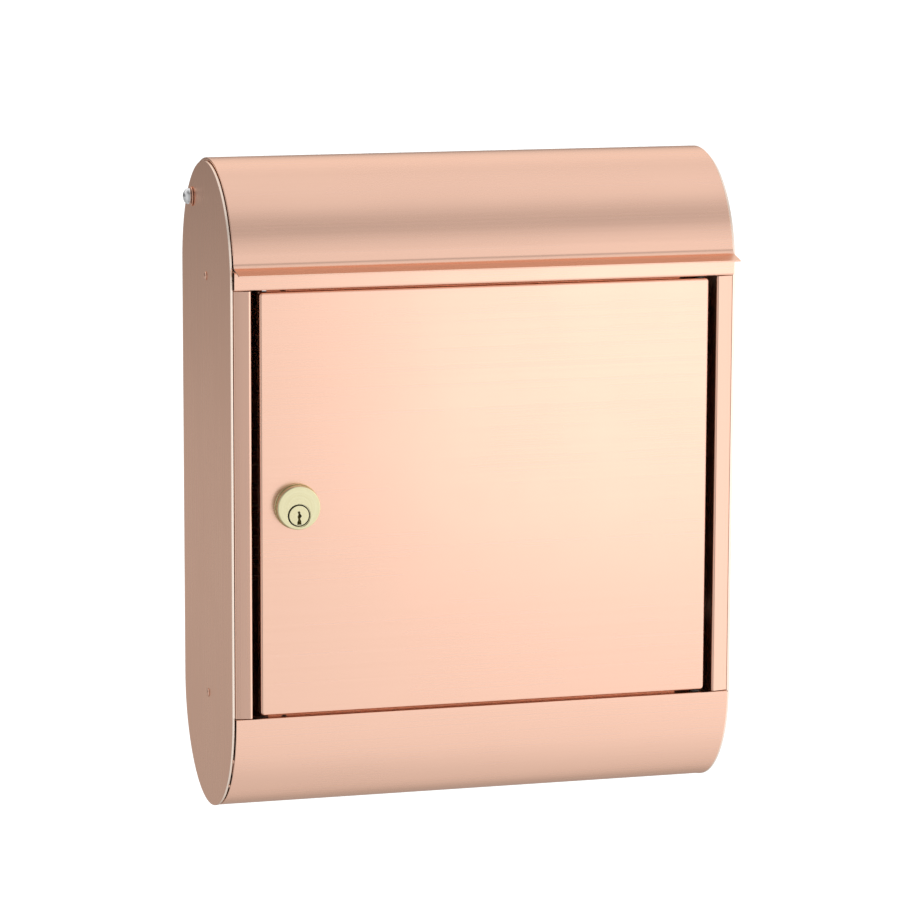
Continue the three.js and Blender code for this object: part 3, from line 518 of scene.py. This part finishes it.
for side, sign in SIDES:
    bm = bmesh.new()
    point = bm.verts.new((sign * INNER_X, WEB_BACK_Y, STILE_FOOT))
    point = run(bm, point, (0, FACE_Y + STILE_LEAN - WEB_BACK_Y, 0))
    point = run(bm, point, (sign * (STILE_IN_X - INNER_X), -STILE_LEAN, 0))
    run(bm, point, (0, JAMB_BACK_Y - FACE_Y, 0))
    pull(bm, bm.edges[:], (0, 0, STILE_TOP - STILE_FOOT))
    jamb_bend = [e for e in sharp_edges(bm) if abs(e.verts[0].co.x) < STILE_IN_X + 0.001]
    round_edges(bm, jamb_bend, JAMB_BEND_R)
    round_edges(bm, sharp_edges(bm), PLATE_BEND_R)
    wall(bm, SHEET_T, Vector((0, -1, 0)))
    ear = bmesh.new()
    foot = ear.verts.new((sign * INNER_X, WEB_BACK_Y, -EAR_Z))
    run(ear, foot, (0, EAR_BACK_Y - WEB_BACK_Y, 0))
    pull(ear, ear.edges[:], (0, 0, 2 * EAR_Z))
    wall(ear, SHEET_T, Vector((sign, 0, 0)))
    add_to(bm, ear)
    finish(f"{side}_stile", bm, copper_upright, "case", "satin_copper", f"{side}_side_channel")


# Header rail: the narrow strip between the door and the lid's lip, folded back above and below.
# Its ears are welded to the plates, and a strip behind it stops the door's top edge.
HEADER_TOP = 0.1692
HEADER_BROW_Y = -0.1670
HEADER_FOOT_Y = -0.1666
HEADER_BACK_Y = -0.150
HEADER_BEND_R = 0.0018
EAR_SETBACK = 0.008
EAR_DEPTH = 0.018

bm = bmesh.new()
point = bm.verts.new((-INNER_X, HEADER_BACK_Y, HEADER_TOP))
point = run(bm, point, (0, HEADER_BROW_Y - HEADER_BACK_Y, 0))
point = run(bm, point, (0, HEADER_FOOT_Y - HEADER_BROW_Y, HEADER_Z - HEADER_TOP))
run(bm, point, (0, SILL_BACK_Y + SHEET_T - HEADER_FOOT_Y, 0))
pull(bm, bm.edges[:], (2 * INNER_X, 0, 0))
round_edges(bm, sharp_edges(bm), HEADER_BEND_R)
wall(bm, SHEET_T, Vector((0, -1, 0)))
for sign in (-1, 1):
    ear = bmesh.new()
    foot = ear.verts.new((sign * INNER_X, HEADER_BACK_Y - EAR_SETBACK, HEADER_Z + SHEET_T))
    run(ear, foot, (0, EAR_DEPTH, 0))
    pull(ear, ear.edges[:], (0, 0, HEADER_TOP - HEADER_Z - 2 * SHEET_T))
    wall(ear, SHEET_T, Vector((sign, 0, 0)))
    add_to(bm, ear)
stop = bmesh.new()
stop_from = stop.verts.new((STOP_FROM, SILL_BACK_Y, HEADER_Z - STOP_H))
run(stop, stop_from, (STOP_TO - STOP_FROM, 0, 0))
pull(stop, stop.edges[:], (0, 0, STOP_H + SHEET_T))
wall(stop, SHEET_T, Vector((0, -1, 0)))
add_to(bm, stop)
finish("header_strip", bm, copper, "case", "satin_copper", "header_rail")


# Blind rivets: copper coloured shells set from outside, hollow where the mandrel broke off, with a
# flared tail behind the channel's web.
def turn_piece(place, way, profile, steps=48):
    """Turns a profile of radius and height pairs round an axis.

    A profile that starts off the axis is closed on itself first.
    """
    bm = bmesh.new()
    chain = [bm.verts.new((radius, 0, height)) for radius, height in profile]
    edges = [bm.edges.new(pair) for pair in zip(chain, chain[1:])]
    if profile[0][0] > 0:
        edges.append(bm.edges.new((chain[-1], chain[0])))
    bmesh.ops.spin(
        bm, geom=chain + edges, cent=(0, 0, 0), axis=(0, 0, 1), angle=2 * pi, steps=steps, use_merge=True,
    )
    bmesh.ops.remove_doubles(bm, verts=bm.verts, dist=1e-6)
    bmesh.ops.recalc_face_normals(bm, faces=bm.faces)
    turn = Vector(way).to_track_quat("Z", "Y").to_matrix()
    bmesh.ops.rotate(bm, verts=bm.verts, matrix=turn)
    bmesh.ops.translate(bm, verts=bm.verts, vec=place)
    return bm


RIVET_PROFILE = [
    (0, -0.0020), (0.0009, -0.0020), (0.0009, 0.0009), (0.0012, 0.0011), (0.0020, 0.0010), (0.0028, 0.0007),
    (0.0032, 0.0003), (0.0031, 0.0001), (0.0023, 0.0001), (0.0023, -0.0034), (0.0034, -0.0041),
    (0.0034, -0.0050), (0.0026, -0.0058), (0, -0.0060),
]
for side, sign in SIDES:
    for level, up in (("lower", -1), ("upper", 1)):
        seat = (sign * PLATE_OUT, RIVET_Y, up * RIVET_Z)
        bm = turn_piece(seat, (sign, 0, 0), RIVET_PROFILE)
        name = f"{side}_{level}_rivet"
        finish(f"{name}_shell", bm, copper_upright, "case", "satin_copper", name)


# Lid: one sheet rolled to stand just proud of the plates' rims, between them, and flicked forward
# into a lip with a soft bend. Its ends are turned in beside the plates.
LID_R = 0.0839
LID_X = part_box("lid_shell")[1].x
LID_REAR = 128
LID_FRONT = 15
LID_RIM_R = 0.0819
LIP_ROOT = Vector((0, -0.0829 + ARC_Y, 0.0131 + ARC_Z))
LIP_TIP = Vector((0, -0.182, 0.168))
LIP_BEND_R = 0.0033
RIM_BEND_R = 0.0006

bm = bmesh.new()
rear_way = Vector((0, -cos(radians(LID_REAR)), sin(radians(LID_REAR))))
rear = bm.verts.new(TOP_CENTRE + rear_way * LID_R - Vector((LID_X, 0, 0)))
brow = arc(bm, [rear], TOP_CENTRE, LID_REAR - LID_FRONT, 76)[0]
root = run(bm, brow, LIP_ROOT - Vector((0, brow.co.y, brow.co.z)))
run(bm, root, LIP_TIP - LIP_ROOT)
pull(bm, bm.edges[:], (2 * LID_X, 0, 0))
lip_bend = [e for e in bm.edges if all((v.co - LIP_ROOT).yz.length < 1e-5 for v in e.verts)]
round_edges(bm, lip_bend, LIP_BEND_R, 8)
rims = [
    e for e in bm.edges
    if e.is_boundary and abs(e.verts[0].co.x - e.verts[1].co.x) < 1e-6
    and all(abs((v.co - TOP_CENTRE).yz.length - LID_R) < 1e-5 for v in e.verts)
]
turned_in = bmesh.ops.extrude_edge_only(bm, edges=rims)["geom"]
rim_verts = [item for item in turned_in if isinstance(item, bmesh.types.BMVert)]
shrink = LID_RIM_R / LID_R
bmesh.ops.scale(bm, verts=rim_verts, vec=(1, shrink, shrink), space=Matrix.Translation(-TOP_CENTRE))
end_bends = [e for e in sharp_edges(bm, 60) if abs(e.verts[0].co.x) > LID_X - 1e-5]
round_edges(bm, end_bends, RIM_BEND_R, 3)
wall(bm, SHEET_T, Vector((0, 0, 1)))
finish("rolled_lid", bm, copper, "lid", "satin_copper", "lid_shell")


# Lid arms: flanged cheeks welded under the lid, one just inside each plate, which carry the lid
# on its pins.
ARM_X = 0.187
ARM_T = 0.0015
ARM_R = LID_R - SHEET_T - GAP
ARM_FROM, ARM_TO = 14, 112
ARM_NECK_TO = 131.7
ARM_BACK = 118
ARM_NECK_R = 0.0783
ARM_IN_R = 0.060
ARM_FLANGE = 0.008

for side, sign in SIDES:
    bm = bmesh.new()
    across = Vector((sign * ARM_X, 0, 0))
    from_way = Vector((0, -cos(radians(ARM_FROM)), sin(radians(ARM_FROM))))
    start = bm.verts.new(across + TOP_CENTRE + from_way * ARM_R)
    step_at = arc(bm, [start], TOP_CENTRE, ARM_FROM - ARM_TO, 50)[0]
    top_rim = bm.edges[:]
    to_way = Vector((0, -cos(radians(ARM_TO)), sin(radians(ARM_TO))))
    neck = run(bm, step_at, -to_way * (ARM_R - ARM_NECK_R))
    boss_top = arc(bm, [neck], TOP_CENTRE, ARM_TO - ARM_NECK_TO, 10)[0]
    boss_foot = arc(bm, [boss_top], PIVOT, -180, 20)[0]
    back_way = Vector((0, -cos(radians(ARM_BACK)), sin(radians(ARM_BACK))))
    back = run(bm, boss_foot, across + TOP_CENTRE + back_way * ARM_IN_R - boss_foot.co)
    last = arc(bm, [back], TOP_CENTRE, ARM_BACK - ARM_FROM, 50)[0]
    bm.edges.new((last, start))
    circle(bm, across + PIVOT, (1, 0, 0), PIN_HOLE_R)
    bmesh.ops.triangle_fill(bm, use_beauty=True, use_dissolve=True, edges=bm.edges[:])
    pull(bm, [e for e in top_rim if e.is_valid], (-sign * ARM_FLANGE, 0, 0))
    wall(bm, ARM_T, Vector((0, 0, 1)))
    finish(f"{side}_lid_cheek", bm, copper, "lid", "satin_copper", f"{side}_lid_arm")


# Lid pivots: dome head steel pins, polished, through a copper coloured washer, the plate, a nylon
# spacer and the lid's arm, each held inside by a hexagon nut.
bright_steel = brushed_metal(
    "bright_steel", (0.80, 0.80, 0.81, 1), (0.86, 0.86, 0.87, 1), (0.92, 0.92, 0.93, 1), (500, 500, 500),
    0.06, 0.02,
)
zinc_steel = brushed_metal(
    "zinc_steel", (0.52, 0.54, 0.56, 1), (0.64, 0.65, 0.66, 1), (0.78, 0.78, 0.79, 1), (260, 260, 260),
    0.34, 0.08,
)


def moulded(name, colour, shade, rough, grain, bump):
    """Moulded plastic or rubber: a fine matt skin with faint cloudiness."""
    made, tree, shader, place = new_material(name)
    skin = noise(tree, place, grain, 2.0, 0.5)
    hands = use_group(tree, handling_group, {"Vector": place, "Size": 120.0})["Smudge"]
    wear = use_group(tree, wear_group, {"Radius": 0.0005})["Wear"]
    cloudy = mix_colour(tree, hands, colour, shade)
    lighter = [min(1, part * 1.25 + 0.02) for part in colour[:3]] + [1]
    tree.links.new(mix_colour(tree, wear, cloudy, lighter), shader["Base Color"])
    tree.links.new(maths(tree, "MULTIPLY_ADD", skin, 0.12, rough - 0.06), shader["Roughness"])
    settings = {"Strength": bump, "Distance": 0.00005, "Height": skin}
    tree.links.new(add_node(tree, "ShaderNodeBump", settings).outputs[0], shader["Normal"])
    return made


nylon = moulded("nylon", (0.024, 0.020, 0.018, 1), (0.035, 0.030, 0.027, 1), 0.48, 2500, 0.15)
rubber = moulded("rubber", (0.018, 0.017, 0.016, 1), (0.03, 0.029, 0.028, 1), 0.75, 4000, 0.3)

PIN_SEAT_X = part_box("right_pivot_washer")[1].x + GAP
PIN_END_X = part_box("right_pivot_pin")[0].x
PIN_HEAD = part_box("right_pivot_pin")[1].x - PIN_SEAT_X
HEAD_R = 0.006
HEAD_RIM = 0.0008
PIN_R = 0.003
dome = [
    (HEAD_R * cos(radians(a)), HEAD_RIM + (PIN_HEAD - HEAD_RIM) * sin(radians(a))) for a in range(0, 91, 6)
]
PIN_PROFILE = [
    (0, PIN_END_X - PIN_SEAT_X), (PIN_R - 0.0004, PIN_END_X - PIN_SEAT_X),
    (PIN_R, PIN_END_X - PIN_SEAT_X + 0.0004), (PIN_R, 0), (HEAD_R - 0.0003, 0), (HEAD_R, 0.0003),
] + dome[:-1] + [(0, PIN_HEAD)]
WASHER_R = 0.0072
WASHER_T = 0.0009
NUT_R = 0.0058
NUT_T = 0.004
BORE_R = PIN_R + GAP


def washer(place, way, inner, outer, thick, steps=48):
    edge = min(0.0002, thick / 4)
    return turn_piece(place, way, [
        (inner, 0), (outer - edge, 0), (outer, edge), (outer, thick - edge), (outer - edge, thick),
        (inner, thick),
    ], steps)


def hex_nut(place, way, across_r, bore, thick):
    """A hexagon with its corners turned off at both faces, and a bore."""
    bm = bmesh.new()
    circle(bm, (0, 0, 0), (0, 0, 1), across_r, 6)
    circle(bm, (0, 0, 0), (0, 0, 1), bore, 36)
    bmesh.ops.triangle_fill(bm, use_beauty=True, use_dissolve=True, edges=bm.edges[:])
    raise_faces(bm, bm.faces[:], (0, 0, thick))
    outer = [e for e in sharp_edges(bm, 60) if all(v.co.xy.length > bore * 1.01 for v in e.verts)]
    round_edges(bm, [e for e in outer if abs(e.verts[0].co.z - e.verts[1].co.z) < 1e-6], thick * 0.09, 2)
    bmesh.ops.rotate(bm, verts=bm.verts, matrix=Vector(way).to_track_quat("Z", "Y").to_matrix())
    bmesh.ops.translate(bm, verts=bm.verts, vec=place)
    return bm


for side, sign in SIDES:
    way = (sign, 0, 0)
    seat = {
        node: Vector((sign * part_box(f"right_{node}")[0].x, PIVOT.y, PIVOT.z))
        for node in ("pivot_washer", "pivot_spacer", "pivot_nut")
    }
    pin = turn_piece((sign * PIN_SEAT_X, PIVOT.y, PIVOT.z), way, PIN_PROFILE, 64)
    finish(f"{side}_dome_pin", pin, bright_steel, "case", "bright_steel", f"{side}_pivot_pin")
    bm = washer(seat["pivot_washer"], way, BORE_R, WASHER_R, WASHER_T)
    finish(f"{side}_outer_washer", bm, copper_upright, "case", "satin_copper", f"{side}_pivot_washer")
    bm = washer(seat["pivot_spacer"], way, BORE_R, WASHER_R, WASHER_T)
    finish(f"{side}_nylon_spacer", bm, nylon, "case", "nylon", f"{side}_pivot_spacer")
    bm = hex_nut(seat["pivot_nut"], way, NUT_R, BORE_R, NUT_T)
    finish(f"{side}_pin_nut", bm, zinc_steel, "case", "zinc_steel", f"{side}_pivot_nut")


# Door: a folded pan with tight rounded corners, brushed across, with a lock hole by its free edge.
# A zinc plated hat section is spot welded behind its middle.
door_low, door_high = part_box("door_panel")
LOCK = Vector((-0.1429, 0, -0.0024))
DOOR_CORNER_R = 0.0026
DOOR_EDGE_R = 0.0019
LOCK_HOLE_R = 0.0146
HAT_HALF = 0.022
HAT_T = 0.0008
HAT_BEND_R = 0.0012
HAT_FOLDS = ((-0.008, 0), (-0.002, 0.0057), (-0.024, 0), (-0.002, -0.0057), (-0.008, 0))

bm = bmesh.new()
middle = (door_low + door_high) / 2
half = (door_high - door_low) / 2
bmesh.ops.create_grid(bm, x_segments=1, y_segments=1, size=1, matrix=Matrix.Rotation(radians(90), 4, "X"))
bmesh.ops.delete(bm, geom=bm.faces[:], context="FACES_ONLY")
bmesh.ops.scale(bm, verts=bm.verts, vec=(half.x, 1, half.z))
bmesh.ops.translate(bm, verts=bm.verts, vec=(middle.x, door_low.y, middle.z))
bmesh.ops.contextual_create(bm, geom=bm.edges[:])
pull(bm, bm.edges[:], (0, door_high.y - door_low.y, 0))
corners = [e for e in bm.edges if abs(e.verts[0].co.y - e.verts[1].co.y) > 0.005]
round_edges(bm, corners, DOOR_CORNER_R, 5)
round_edges(bm, sharp_edges(bm), DOOR_EDGE_R, 4)
pierce(bm, Vector((0, -1, 0)), [((LOCK.x, door_low.y, LOCK.z), LOCK_HOLE_R)])
wall(bm, SHEET_T, Vector((0, -1, 0)))
finish("door_pan", bm, copper, "door", "satin_copper", "door_panel")

hat_low, hat_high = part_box("door_stiffener")
hat_x = (hat_low.x + hat_high.x) / 2
bm = bmesh.new()
point = bm.verts.new((hat_x + HAT_HALF, hat_low.y, hat_low.z))
for across, back in HAT_FOLDS:
    point = run(bm, point, (across, back, 0))
pull(bm, bm.edges[:], (0, 0, hat_high.z - hat_low.z))
round_edges(bm, sharp_edges(bm), HAT_BEND_R)
wall(bm, HAT_T, Vector((0, 1, 0)))
bmesh.ops.translate(bm, verts=bm.verts, vec=(0, hat_high.y - max(v.co.y for v in bm.verts), 0))
finish("door_hat_section", bm, zinc_steel, "door", "zinc_steel", "door_stiffener")


# Hinge pins: headed pins dropped through the header and pushed up through the sill, with nylon
# washers that carry the door clear of both.
HINGE = Vector(((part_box("upper_hinge_pin")[0].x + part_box("upper_hinge_pin")[1].x) / 2, -0.1604, 0))
HINGE_R = 0.002
HINGE_HEAD_R = 0.0036
HINGE_HEAD_H = 0.0016
for level, up in (("lower", -1), ("upper", 1)):
    pin_low, pin_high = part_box(f"{level}_hinge_pin")
    seat_z = pin_high.z - HINGE_HEAD_H if up > 0 else pin_low.z + HINGE_HEAD_H
    reach = seat_z - pin_low.z if up > 0 else pin_high.z - seat_z
    bm = turn_piece((HINGE.x, HINGE.y, seat_z), (0, 0, up), [
        (0, -reach), (HINGE_R - 0.0005, -reach), (HINGE_R, 0.0006 - reach), (HINGE_R, 0),
        (HINGE_HEAD_R, 0), (HINGE_HEAD_R, 0.0004), (0.0034, 0.0010), (0.0029, 0.0014),
        (0.0020, HINGE_HEAD_H), (0, HINGE_HEAD_H),
    ])
    finish(f"{level}_door_pin", bm, zinc_steel, "case", "zinc_steel", f"{level}_hinge_pin")
    low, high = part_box(f"{level}_hinge_washer")
    bm = washer((HINGE.x, HINGE.y, low.z), (0, 0, 1), HINGE_R + GAP, (high.x - low.x) / 2, high.z - low.z)
    finish(f"{level}_door_washer", bm, nylon, "case", "nylon", f"{level}_hinge_washer")


# Lock: a brass mortise type cylinder, its round head turned and lightly polished, with a thin collar
# at the door's face and a hexagon nut behind. The plug sits low in the head, in a shallow mouth.
def turned_brass(name, centre_z, rough):
    """Brass with the fine rings that a lathe tool leaves round one centre."""
    made, tree, shader, place = new_material(name)
    centre = (-LOCK.x, 0, -centre_z)
    local = add_node(tree, "ShaderNodeMapping", {"Vector": place, "Location": centre}).outputs[0]
    part = add_node(tree, "ShaderNodeSeparateXYZ", {0: local}).outputs
    squares = [maths(tree, "POWER", part[axis], 2.0) for axis in ("X", "Z")]
    reach = maths(tree, "SQRT", maths(tree, "ADD", *squares))
    ring_place = add_node(tree, "ShaderNodeCombineXYZ", {0: reach}).outputs[0]
    rings = use_group(tree, grain_group, {"Vector": ring_place, "Fine": 4200.0, "Broad": 700.0})
    hands = use_group(tree, handling_group, {"Vector": place, "Size": 110.0})["Smudge"]
    wear = use_group(tree, wear_group, {"Radius": 0.0005})["Wear"]
    tone = mix_colour(tree, rings["Streaks"], (0.75, 0.69, 0.42, 1), (0.81, 0.76, 0.50, 1))
    tree.links.new(mix_colour(tree, wear, tone, (0.92, 0.87, 0.66, 1)), shader["Base Color"])
    tree.links.new(maths(tree, "MULTIPLY_ADD", hands, 0.08, rough), shader["Roughness"])
    settings = {"Strength": 0.12, "Distance": 0.00008, "Height": rings["Scratches"]}
    tree.links.new(add_node(tree, "ShaderNodeBump", settings).outputs[0], shader["Normal"])
    shader["Metallic"].default_value = 1.0
    return made


PLUG_DROP = 0.0056
PLUG = LOCK - Vector((0, 0, PLUG_DROP))
brass_head = turned_brass("turned_brass_head", LOCK.z, 0.20)
brass_plug = turned_brass("turned_brass_plug", PLUG.z, 0.22)
cylinder_low, cylinder_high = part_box("lock_cylinder")
HEAD_FRONT = cylinder_low.y
BODY_BACK = cylinder_high.y
LOCK_HEAD_R = 0.016
LOCK_BODY_R = 0.0143
DOOR_FACE = door_low.y
MOUTH_R = 0.0088
MOUTH_DEPTH = 0.0012
BARREL_R = 0.0082


def spin_open(bm, centre, profile, steps=72):
    """Turns an open profile of radius and Y pairs round an axis along Y, leaving its ends open."""
    chain = [bm.verts.new((centre.x + radius, y, centre.z)) for radius, y in profile]
    edges = [bm.edges.new(pair) for pair in zip(chain, chain[1:])]
    bmesh.ops.spin(
        bm, geom=chain + edges, cent=centre, axis=(0, 1, 0), angle=2 * pi, steps=steps, use_merge=True,
    )


def fill_flat(bm, y):
    """Fills between the open rings that lie in one plane across Y."""
    open_edges = [e for e in bm.edges if e.is_boundary and all(abs(v.co.y - y) < 1e-6 for v in e.verts)]
    bmesh.ops.triangle_fill(bm, use_beauty=True, use_dissolve=True, edges=open_edges)


bm = bmesh.new()
spin_open(bm, LOCK, [
    (LOCK_HEAD_R - 0.0009, HEAD_FRONT), (LOCK_HEAD_R - 0.0005, HEAD_FRONT + 0.0001),
    (LOCK_HEAD_R - 0.0002, HEAD_FRONT + 0.0003), (LOCK_HEAD_R, HEAD_FRONT + 0.0008),
    (LOCK_HEAD_R, DOOR_FACE - GAP), (LOCK_BODY_R, DOOR_FACE - GAP),
    (LOCK_BODY_R, BODY_BACK - 0.0005), (LOCK_BODY_R - 0.0005, BODY_BACK),
])
spin_open(bm, PLUG, [
    (MOUTH_R, HEAD_FRONT), (MOUTH_R - 0.0002, HEAD_FRONT + 0.0002),
    (MOUTH_R - 0.0002, HEAD_FRONT + MOUTH_DEPTH), (BARREL_R, HEAD_FRONT + MOUTH_DEPTH),
    (BARREL_R, BODY_BACK),
])
fill_flat(bm, HEAD_FRONT)
fill_flat(bm, BODY_BACK)
bmesh.ops.recalc_face_normals(bm, faces=bm.faces)
finish("cylinder_shell", bm, brass_head, "door", "brass", "lock_cylinder")

COLLAR_R = 0.0167
bm = turn_piece((LOCK.x, DOOR_FACE - GAP, LOCK.z), (0, -1, 0), [
    (LOCK_HEAD_R + 0.0001, 0), (COLLAR_R, 0), (COLLAR_R, 0.0018), (COLLAR_R - 0.0001, 0.0022),
    (COLLAR_R - 0.0003, 0.0025), (LOCK_HEAD_R + 0.0003, 0.0026), (LOCK_HEAD_R + 0.0001, 0.0024),
], 72)
finish("collar_ring", bm, brass_head, "door", "brass", "lock_collar")

MORTISE_NUT_R = 0.019
nut_low, nut_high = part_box("lock_nut")
nut_t = nut_high.y - nut_low.y
bm = hex_nut((LOCK.x, nut_low.y, LOCK.z), (0, 1, 0), MORTISE_NUT_R, LOCK_BODY_R + 0.0002, nut_t)
finish("mortise_nut", bm, zinc_steel, "door", "zinc_steel", "lock_nut")


# Plug: the part that turns with the key, with a crooked keyway open to its lower rim. A flat cam is
# screwed to its tail, and reaches behind the keeper when the door is locked.
plug_low, plug_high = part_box("lock_plug")
PLUG_FRONT = plug_low.y
PLUG_BACK = plug_high.y
PLUG_R = 0.00735
KEYWAY_DEPTH = 0.020
CAM_CORNER_R = 0.004
CAM_HEAD_R = 0.004
CAM_HEAD_H = 0.0022
KEYWAY = [
    (-0.5, 3.2), (0.4, 3.2), (0.9, 2.6), (0.9, 1.3), (1.7, 0.4), (2.0, -0.4), (1.6, -1.2), (0.9, -1.8),
    (0.9, -2.8), (1.5, -3.8), (1.8, -6.6), (-1.5, -6.6), (-1.3, -4.4), (-0.7, -3.2), (-0.8, -2.0),
    (-1.2, -1.2), (-1.1, -0.3), (-0.5, 0.6), (-0.6, 1.6), (-1.1, 2.2), (-1.0, 2.8),
]
bm = bmesh.new()
slot_points = [bm.verts.new((PLUG.x + x / 1000, PLUG_FRONT, PLUG.z + z / 1000)) for x, z in KEYWAY]
slot_edges = [bm.edges.new(pair) for pair in zip(slot_points, slot_points[1:] + slot_points[:1])]
slot_end = pull(bm, slot_edges, (0, KEYWAY_DEPTH, 0))
bmesh.ops.triangle_fill(bm, use_beauty=True, use_dissolve=True, edges=slot_end)
spin_open(bm, PLUG, [
    (PLUG_R - 0.0004, PLUG_FRONT), (PLUG_R - 0.0001, PLUG_FRONT + 0.0002), (PLUG_R, PLUG_FRONT + 0.0005),
    (PLUG_R, PLUG_BACK - 0.0004), (PLUG_R - 0.0004, PLUG_BACK), (0, PLUG_BACK),
])
bmesh.ops.remove_doubles(bm, verts=bm.verts, dist=1e-6)
fill_flat(bm, PLUG_FRONT)
bmesh.ops.recalc_face_normals(bm, faces=bm.faces)
finish("key_plug", bm, brass_plug, "plug", "brass", "lock_plug")

cam_low, cam_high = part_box("lock_cam")
bm = bmesh.new()
bmesh.ops.create_grid(bm, x_segments=1, y_segments=1, size=1, matrix=Matrix.Rotation(radians(90), 4, "X"))
cam_half = (cam_high - cam_low) / 2
cam_middle = (cam_high + cam_low) / 2
bmesh.ops.scale(bm, verts=bm.verts, vec=(cam_half.x, 1, cam_half.z))
bmesh.ops.translate(bm, verts=bm.verts, vec=(cam_middle.x, cam_low.y, cam_middle.z))
raise_faces(bm, bm.faces[:], (0, cam_high.y - cam_low.y, 0))
cam_corners = [e for e in bm.edges if abs(e.verts[0].co.y - e.verts[1].co.y) > 0.001]
round_edges(bm, cam_corners, CAM_CORNER_R, 8)
round_edges(bm, sharp_edges(bm), 0.0002, 2)
finish("flat_cam", bm, zinc_steel, "plug", "zinc_steel", "lock_cam")

screw_low, screw_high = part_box("cam_screw")
head_y = screw_high.y - CAM_HEAD_H
bm = turn_piece((PLUG.x, head_y, PLUG.z), (0, 1, 0), [
    (0, screw_low.y - head_y), (0.0012, screw_low.y - head_y), (0.0015, screw_low.y - head_y + 0.0004),
    (0.0015, 0), (CAM_HEAD_R, 0), (CAM_HEAD_R, 0.0010), (0.0038, 0.0015), (0.0034, 0.0019),
    (0.0026, CAM_HEAD_H), (0.0012, CAM_HEAD_H), (0.0008, 0.0012), (0, 0.0010),
])
finish("cam_pan_screw", bm, zinc_steel, "plug", "zinc_steel", "cam_screw")

# Tumblers: brass key pins in the plug and driver pins above them in the cylinder, each driver
# pressed down by a small coil spring of round wire.
WIRE_R = 0.00016
COIL_TURNS = 6
COIL_STEPS = 24
for number in range(1, 6):
    for node, body in ((f"key_pin_{number}", "plug"), (f"driver_pin_{number}", "door")):
        low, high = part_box(node)
        radius = (high.y - low.y) / 2
        length = high.z - low.z
        foot_r = 0.0002 if body == "plug" else radius - 0.0003
        foot_h = 0.0007 if body == "plug" else 0.0002
        bm = turn_piece((PLUG.x, (low.y + high.y) / 2, low.z), (0, 0, 1), [
            (0, 0), (foot_r, 0), (radius, foot_h), (radius, length - 0.0002), (radius - 0.0003, length),
            (0, length),
        ], 24)
        finish(f"{node}_turned", bm, brass_plug, body, "brass", node)
    low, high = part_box(f"driver_spring_{number}")
    coil_y = (low.y + high.y) / 2
    coil_r = (high.y - low.y) / 2 - WIRE_R
    bm = bmesh.new()
    ring = bmesh.ops.create_circle(bm, segments=8, radius=WIRE_R, cap_ends=True)["verts"]
    bmesh.ops.rotate(bm, verts=ring, matrix=Matrix.Rotation(radians(90), 3, "X"))
    bmesh.ops.translate(bm, verts=ring, vec=(PLUG.x + coil_r, coil_y, low.z + WIRE_R))
    coil_steps = COIL_TURNS * COIL_STEPS
    climb = (high.z - low.z - 2 * WIRE_R) / coil_steps
    bmesh.ops.spin(
        bm, geom=bm.verts[:] + bm.edges[:] + bm.faces[:], cent=(PLUG.x, coil_y, low.z), axis=(0, 0, 1),
        dvec=(0, 0, climb), angle=2 * pi * COIL_TURNS, steps=coil_steps,
    )
    bmesh.ops.remove_doubles(bm, verts=bm.verts, dist=1e-7)
    bmesh.ops.recalc_face_normals(bm, faces=bm.faces)
    finish(f"coil_spring_{number}", bm, bright_steel, "door", "bright_steel", f"driver_spring_{number}")


# Keeper: a zinc plated angle riveted inside the left channel, which the cam turns in behind.
# It is bent from 1.5 mm strip, and its two round headed rivets are zinc plated too.
KEEPER_T = 0.0015
KEEPER_BEND_R = 0.0025
keeper_low, keeper_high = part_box("lock_keeper")
bm = bmesh.new()
point = bm.verts.new((keeper_low.x, keeper_high.y, keeper_low.z))
point = run(bm, point, (0, keeper_low.y - keeper_high.y, 0))
run(bm, point, (keeper_high.x - keeper_low.x, 0, 0))
pull(bm, bm.edges[:], (0, 0, keeper_high.z - keeper_low.z))
round_edges(bm, sharp_edges(bm), KEEPER_BEND_R)
wall(bm, KEEPER_T, Vector((0, -1, 0)), 0.0003)
finish("keeper_angle", bm, zinc_steel, "case", "zinc_steel", "lock_keeper")
for level in ("lower", "upper"):
    low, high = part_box(f"{level}_keeper_rivet")
    long = high.x - low.x
    bm = turn_piece((low.x, (low.y + high.y) / 2, (low.z + high.z) / 2), (1, 0, 0), [
        (0, 0), (0.0014, 0), (0.0016, 0.0002), (0.0016, long - 0.0015), (0.003, long - 0.0015),
        (0.0029, long - 0.0010), (0.0025, long - 0.0005), (0.0018, long - 0.0001), (0, long),
    ])
    finish(f"{level}_keeper_rivet_turned", bm, zinc_steel, "case", "zinc_steel", f"{level}_keeper_rivet")


# Rubber stops: buttons on the header rail under the lid's arms, and pads on the strips behind the
# door's top and bottom flanges.
for side, sign in SIDES:
    low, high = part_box(f"{side}_lid_stop")
    tall = high.z - low.z
    bm = turn_piece(((low.x + high.x) / 2, (low.y + high.y) / 2, low.z), (0, 0, 1), [
        (0, 0), (0.0038, 0), (0.004, 0.0003), (0.004, tall - 0.0012), (0.0038, tall - 0.0006),
        (0.0034, tall - 0.0002), (0.0028, tall), (0, tall),
    ])
    finish(f"{side}_lid_button", bm, rubber, "case", "rubber", f"{side}_lid_stop")
for level in ("lower", "upper"):
    low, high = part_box(f"{level}_door_stop")
    thick = high.y - low.y
    bm = turn_piece(((low.x + high.x) / 2, high.y, (low.z + high.z) / 2), (0, -1, 0), [
        (0, 0), (0.003, 0), (0.003, thick - 0.0003), (0.0027, thick), (0, thick),
    ])
    finish(f"{level}_door_pad", bm, rubber, "case", "rubber", f"{level}_door_stop")
